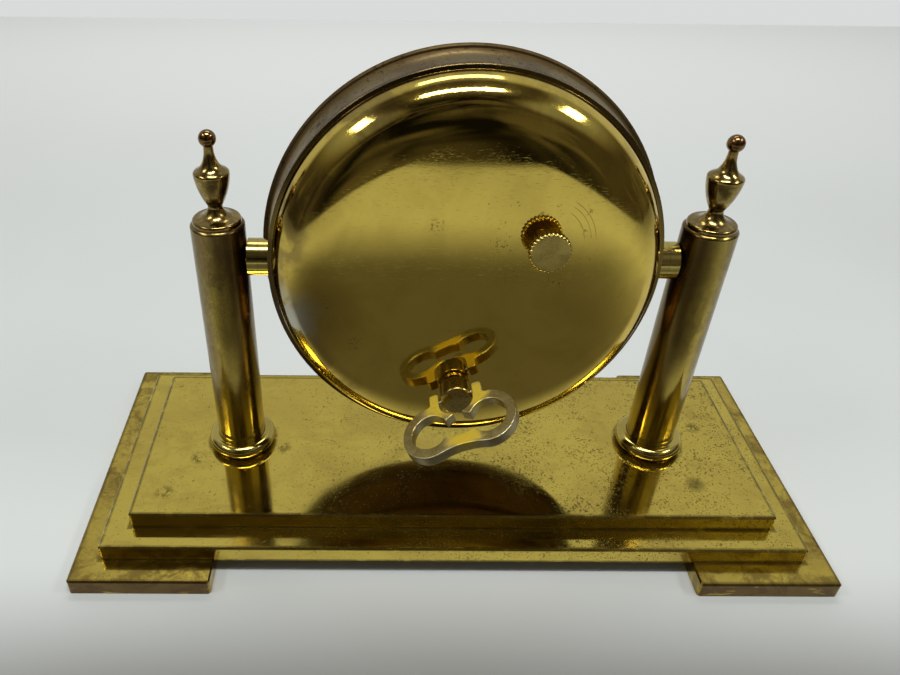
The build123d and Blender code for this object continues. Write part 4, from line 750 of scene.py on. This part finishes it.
for piece, node, material in (
    (band, "case_band", band_brass), (cover, "back_cover", cover_brass),
    (bezel, "bezel", band_brass), (glass, "glass", glass_clear),
):
    piece.data.materials.append(material)
    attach(piece, "drum")
    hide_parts(node)

# Key hub, folding bow and setting knob
def on_cover(place):
    return DRUM @ Matrix.Translation((place[0] * mm, place[1] * mm, COVER * mm))


hub_profile = soften(
    [(0, 0.35), (3.05, 0.35), (3.05, 1.2), (3.86, 1.5), (3.86, 6.58), (3.5, 6.93), (0, 6.93)], 0.2, steps=4
)
hub = lathe("turned_key_hub", hub_profile, on_cover(KEY), 96)
NOTCHES = 30
NOTCH_DEPTH = 0.28


def knurl(radius, height, turn):
    """Notches round the knob's head, none on its shank, running out on the slopes."""
    if radius < 4.2:
        return radius
    notch = (0.5 + 0.5 * cos(NOTCHES * turn)) ** 1.5
    return radius - NOTCH_DEPTH * notch * min(1.0, (radius - 4.1) / 0.4)


knob_profile = soften(
    [(0, 0.35), (1.9, 0.35), (1.9, 3.7), (4.35, 3.7), (4.75, 4.1), (4.75, 5.6), (4.35, 6.0), (4.0, 6.0),
     (0, 6.0)],
    0.15, steps=3,
)
knob = lathe("knurled_knob", knob_profile, on_cover(KNOB), 360, wobble=knurl)
for piece, node, body, material in (
    (hub, "key_hub", "winding", hub_brass), (knob, "set_knob", "setting", knob_brass)
):
    piece.data.materials.append(material)
    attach(piece, body)
    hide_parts(node)


def worn_copy(node, name, voxel, passes):
    """A copy of a CAD node with its sharp edges rubbed round."""
    source = nodes[node]
    piece = bpy.data.objects.new(name, source.data.copy())
    scene.collection.objects.link(piece)
    remesh = piece.modifiers.new("even", "REMESH")
    remesh.mode = "VOXEL"
    remesh.voxel_size = voxel * mm
    rub = piece.modifiers.new("rub", "SMOOTH")
    rub.factor = 0.5
    rub.iterations = passes
    bpy.context.view_layer.update()
    worn = bpy.data.meshes.new_from_object(piece.evaluated_get(bpy.context.evaluated_depsgraph_get()))
    piece.modifiers.clear()
    piece.data = worn
    worn.polygons.foreach_set("use_smooth", [True] * len(worn.polygons))
    return piece


bow = worn_copy("key_bow", "worn_key_bow", 0.13, 8)
bow.data.materials.clear()
bow.data.materials.append(key_metal)
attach(bow, "bow")
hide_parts("key_bow")

# Print on the dial: a minute track and plain numbers
PRINT = -6.93
TRACK = (38.7, 41.3)
NUMBERS = 32.8


def print_bar(verts, faces, along, length, width, turn):
    """A bar of ink at a distance from the dial's axis, turned about it."""
    first = len(verts)
    for dx, dy in ((-width, -length), (width, -length), (width, length), (-width, length)):
        x, y = dx / 2, along + dy / 2
        verts.append((x * cos(turn) + y * sin(turn), y * cos(turn) - x * sin(turn), PRINT))
    faces.append((first, first + 1, first + 2, first + 3))


track_verts, track_faces = [], []
for minute in range(60):
    length, width = (2.6, 0.7) if minute % 5 == 0 else (1.7, 0.22)
    print_bar(track_verts, track_faces, sum(TRACK) / 2, length, width, 2 * pi * minute / 60)
for radius in TRACK:
    dashes = 180
    dash = 2 * pi * radius / dashes * 1.01
    for s in range(dashes):
        print_bar(track_verts, track_faces, radius, 0.16, dash, 2 * pi * s / dashes)
track = finish_mesh("minute_track", track_verts, track_faces, DRUM)
track.data.materials.append(hand_black)
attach(track, "drum")
for hour in range(1, 13):
    turn = 2 * pi * hour / 12
    letters = bpy.data.curves.new(f"number_{hour}", "FONT")
    letters.body = str(hour)
    letters.size = 8.6 * mm
    letters.align_x = "CENTER"
    letters.align_y = "CENTER"
    letters.extrude = 0.01 * mm
    shown = bpy.data.objects.new("lettering", letters)
    scene.collection.objects.link(shown)
    bpy.context.view_layer.update()
    flat = bpy.data.meshes.new_from_object(shown.evaluated_get(bpy.context.evaluated_depsgraph_get()))
    bpy.data.objects.remove(shown)
    place = Vector((-NUMBERS * sin(turn), NUMBERS * cos(turn), PRINT)) * mm
    flat.transform(DRUM @ Matrix.Translation(place) @ Matrix.Rotation(pi, 4, "Y"))
    number = bpy.data.objects.new(f"number_{hour}", flat)
    scene.collection.objects.link(number)
    flat.materials.append(hand_black)
    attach(number, "drum")

# Materials of the nodes that stay as they are
give(base_brass, "upper_plate")
give(lower_brass, "lower_plate")
give(foot_brass, "foot_left", "foot_right")
give(boss_brass, "trunnion_left", "trunnion_right", "trunnion_washers")
give(dial_enamel, "dial")
give(hand_black, "minute_hand", "hour_hand")
give(
    movement_brass, "front_plate", "back_plate", "pillars", "pillar_nuts", "frame_feet", "barrel",
    "barrel_cover", "intermediate_wheel", "centre_wheel", "third_wheel", "fourth_wheel", "escape_wheel",
    "balance_wheel", "minute_wheel", "hour_wheel", "cannon_pinion", "trunnion_nuts",
)
give(
    steel, "foot_screws", "column_screws", "frame_screws", "click_screw", "click", "barrel_arbor",
    "ratchet_wheel", "intermediate_pinion", "centre_pinion", "third_pinion", "fourth_pinion",
    "escape_pinion", "pallet_lever", "balance_staff", "set_arbor", "key_pin",
)
give(blue_steel, "mainspring", "click_spring", "hairspring")

# Camera, fitted to the photograph: place in millimetres, angles in radians, the rest in its pixels
EYE = (23.24, 165.35, 172.25)
PITCH, YAW, ROLL = 0.631, 0.011, 0.014
PHOTO_WIDTH, FOCAL, CENTRE = 900, 770.76, 374.05
forward = Vector((-sin(YAW) * cos(PITCH), -cos(YAW) * cos(PITCH), -sin(PITCH)))
right = Vector((-cos(YAW), sin(YAW), 0))
up = right.cross(forward)
turned_right = right * cos(ROLL) + up * sin(ROLL)
turned_up = up * cos(ROLL) - right * sin(ROLL)
eye = Vector(EYE) * mm
camera_data = bpy.data.cameras.new("camera")
camera = bpy.data.objects.new("camera", camera_data)
scene.collection.objects.link(camera)
camera.matrix_world = Matrix((
    (turned_right.x, turned_up.x, -forward.x, eye.x),
    (turned_right.y, turned_up.y, -forward.y, eye.y),
    (turned_right.z, turned_up.z, -forward.z, eye.z),
    (0, 0, 0, 1),
))
camera_data.sensor_width = 36
camera_data.sensor_fit = "HORIZONTAL"
camera_data.lens = FOCAL / PHOTO_WIDTH * camera_data.sensor_width
camera_data.shift_x = (PHOTO_WIDTH / 2 - CENTRE) / PHOTO_WIDTH
camera_data.clip_start = 0.005
scene.camera = camera


# Floor and backdrop
def stage_plane(name, corners, material):
    mesh = bpy.data.meshes.new(name)
    mesh.from_pydata(corners, [], [tuple(range(len(corners)))])
    plane = bpy.data.objects.new(name, mesh)
    scene.collection.objects.link(plane)
    mesh.materials.append(material)


def paper(name, tone, shade, far, dim):
    """Pale sheet, paler further back, with a painted shadow on the side where whoever looks at the clock
    would stand.
    """
    g = Graph(name)
    grain = g.noise(g.scaled(0.9), 5, 0.6, 0.0, 4.0)
    broad = g.noise(g.scaled(0.006), 3, 0.5, 0.0, 2.0)
    colour = g.mix(g.step(broad, 0.35, 0.7), tone, shade)
    colour = g.mix(g.step(g.axis("Y"), -0.12, -0.50), colour, far)
    # Painted shadow: a dim band on the floor in front of the clock, where the camera side would shade it.
    deep = both(g, g.step(g.axis("Y"), 0.030, 0.085), g.step(g.axis("Y"), 0.36, 0.24))
    wide = g.step(g.math("ABSOLUTE", g.axis("X")), 0.28, 0.06)
    colour = g.mix(both(g, deep, wide), colour, dim)
    return g.principled(colour, 0.62, 0.0, g.bump(grain, 0.02))


# The last tone is the painted shadow's.
floor_paper = paper("floor_paper", (0.62, 0.65, 0.63), (0.595, 0.62, 0.60), (0.88, 0.905, 0.89),
                    (0.105, 0.10, 0.088))
WIDE, DEEP = 2.2, 0.535
stage_plane("floor", [(-WIDE, -DEEP, 0), (WIDE, -DEEP, 0), (WIDE, DEEP, 0), (-WIDE, DEEP, 0)], floor_paper)


# Light: a strip overhead, a wash behind and a soft box on either side
def soft_box(name, place, aim, width, height, power):
    data = bpy.data.lights.new(name, "AREA")
    data.shape = "RECTANGLE"
    data.size = width
    data.size_y = height
    data.energy = power
    lamp = bpy.data.objects.new(name, data)
    scene.collection.objects.link(lamp)
    lamp.location = place
    lamp.rotation_euler = (Vector(aim) - Vector(place)).to_track_quat("-Z", "Y").to_euler()


soft_box("overhead", (0.0, 0.17, 0.95), (0, 0, 0), 0.50, 0.09, 5.0)
soft_box("back_wash", (0.0, -0.50, 1.05), (0, -0.45, 0), 0.6, 0.2, 2.2)
soft_box("left_box", (0.50, 0.13, 0.62), (0, 0, 0.06), 0.24, 0.10, 0.9)
soft_box("right_box", (-0.50, 0.10, 0.58), (0, 0, 0.06), 0.24, 0.10, 0.9)

# The room: pale behind the clock and overhead, dim on the side it is seen from
world = bpy.data.worlds.new("room")
scene.world = world
world.use_nodes = True
tree = world.node_tree
tree.nodes.clear()


def world_node(kind, **settings):
    made = tree.nodes.new(kind)
    for key, value in settings.items():
        setattr(made, key, value)
    return made


def ramp(source, low, high, to_low, to_high):
    made = world_node("ShaderNodeMapRange", interpolation_type="SMOOTHSTEP")
    tree.links.new(source, made.inputs["Value"])
    for key, value in (("From Min", low), ("From Max", high), ("To Min", to_low), ("To Max", to_high)):
        made.inputs[key].default_value = value
    return made.outputs["Result"]


def join(operation, a, b):
    made = world_node("ShaderNodeMath", operation=operation)
    tree.links.new(a, made.inputs[0])
    tree.links.new(b, made.inputs[1])
    return made.outputs[0]


coords = world_node("ShaderNodeTexCoord")
split = world_node("ShaderNodeSeparateXYZ")
tree.links.new(coords.outputs["Generated"], split.inputs[0])
behind = ramp(split.outputs["Y"], -0.12, -0.42, 0.0, 1.0)
low_part = ramp(split.outputs["Z"], -0.10, 0.15, 0.72, 0.53)
overhead = ramp(split.outputs["Z"], 0.80, 0.97, 0.0, 0.10)
pale = join("MAXIMUM", join("MULTIPLY", behind, low_part), overhead)
shapes = world_node("ShaderNodeTexNoise")
tree.links.new(coords.outputs["Generated"], shapes.inputs["Vector"])
shapes.inputs["Scale"].default_value = 2.6
shapes.inputs["Detail"].default_value = 3.0
shapes.inputs["Distortion"].default_value = 0.8
dim = ramp(shapes.outputs["Fac"], 0.42, 0.62, 0.006, 0.11)
aside = world_node("ShaderNodeMath", operation="ABSOLUTE")
tree.links.new(split.outputs["X"], aside.inputs[0])
outward = ramp(aside.outputs[0], 0.22, 0.48, 0.0, 1.0)
rising = ramp(split.outputs["Z"], 0.30, 0.65, 0.06, 0.30)
falling = ramp(split.outputs["Z"], 0.74, 0.86, 1.0, 0.25)
flanks = join("MULTIPLY", join("MULTIPLY", outward, rising), falling)
level = join("MAXIMUM", join("MAXIMUM", pale, dim), flanks)
tint = world_node("ShaderNodeMix", data_type="RGBA")
tree.links.new(ramp(level, 0.1, 0.25, 0.0, 1.0), tint.inputs[0])
tint.inputs[6].default_value = (1.0, 0.86, 0.68, 1)
tint.inputs[7].default_value = (0.965, 0.985, 0.98, 1)
room = world_node("ShaderNodeBackground")
tree.links.new(tint.outputs[2], room.inputs["Color"])
tree.links.new(level, room.inputs["Strength"])
world_out = world_node("ShaderNodeOutputWorld")
tree.links.new(room.outputs["Background"], world_out.inputs["Surface"])

scene.view_settings.view_transform = "Standard"
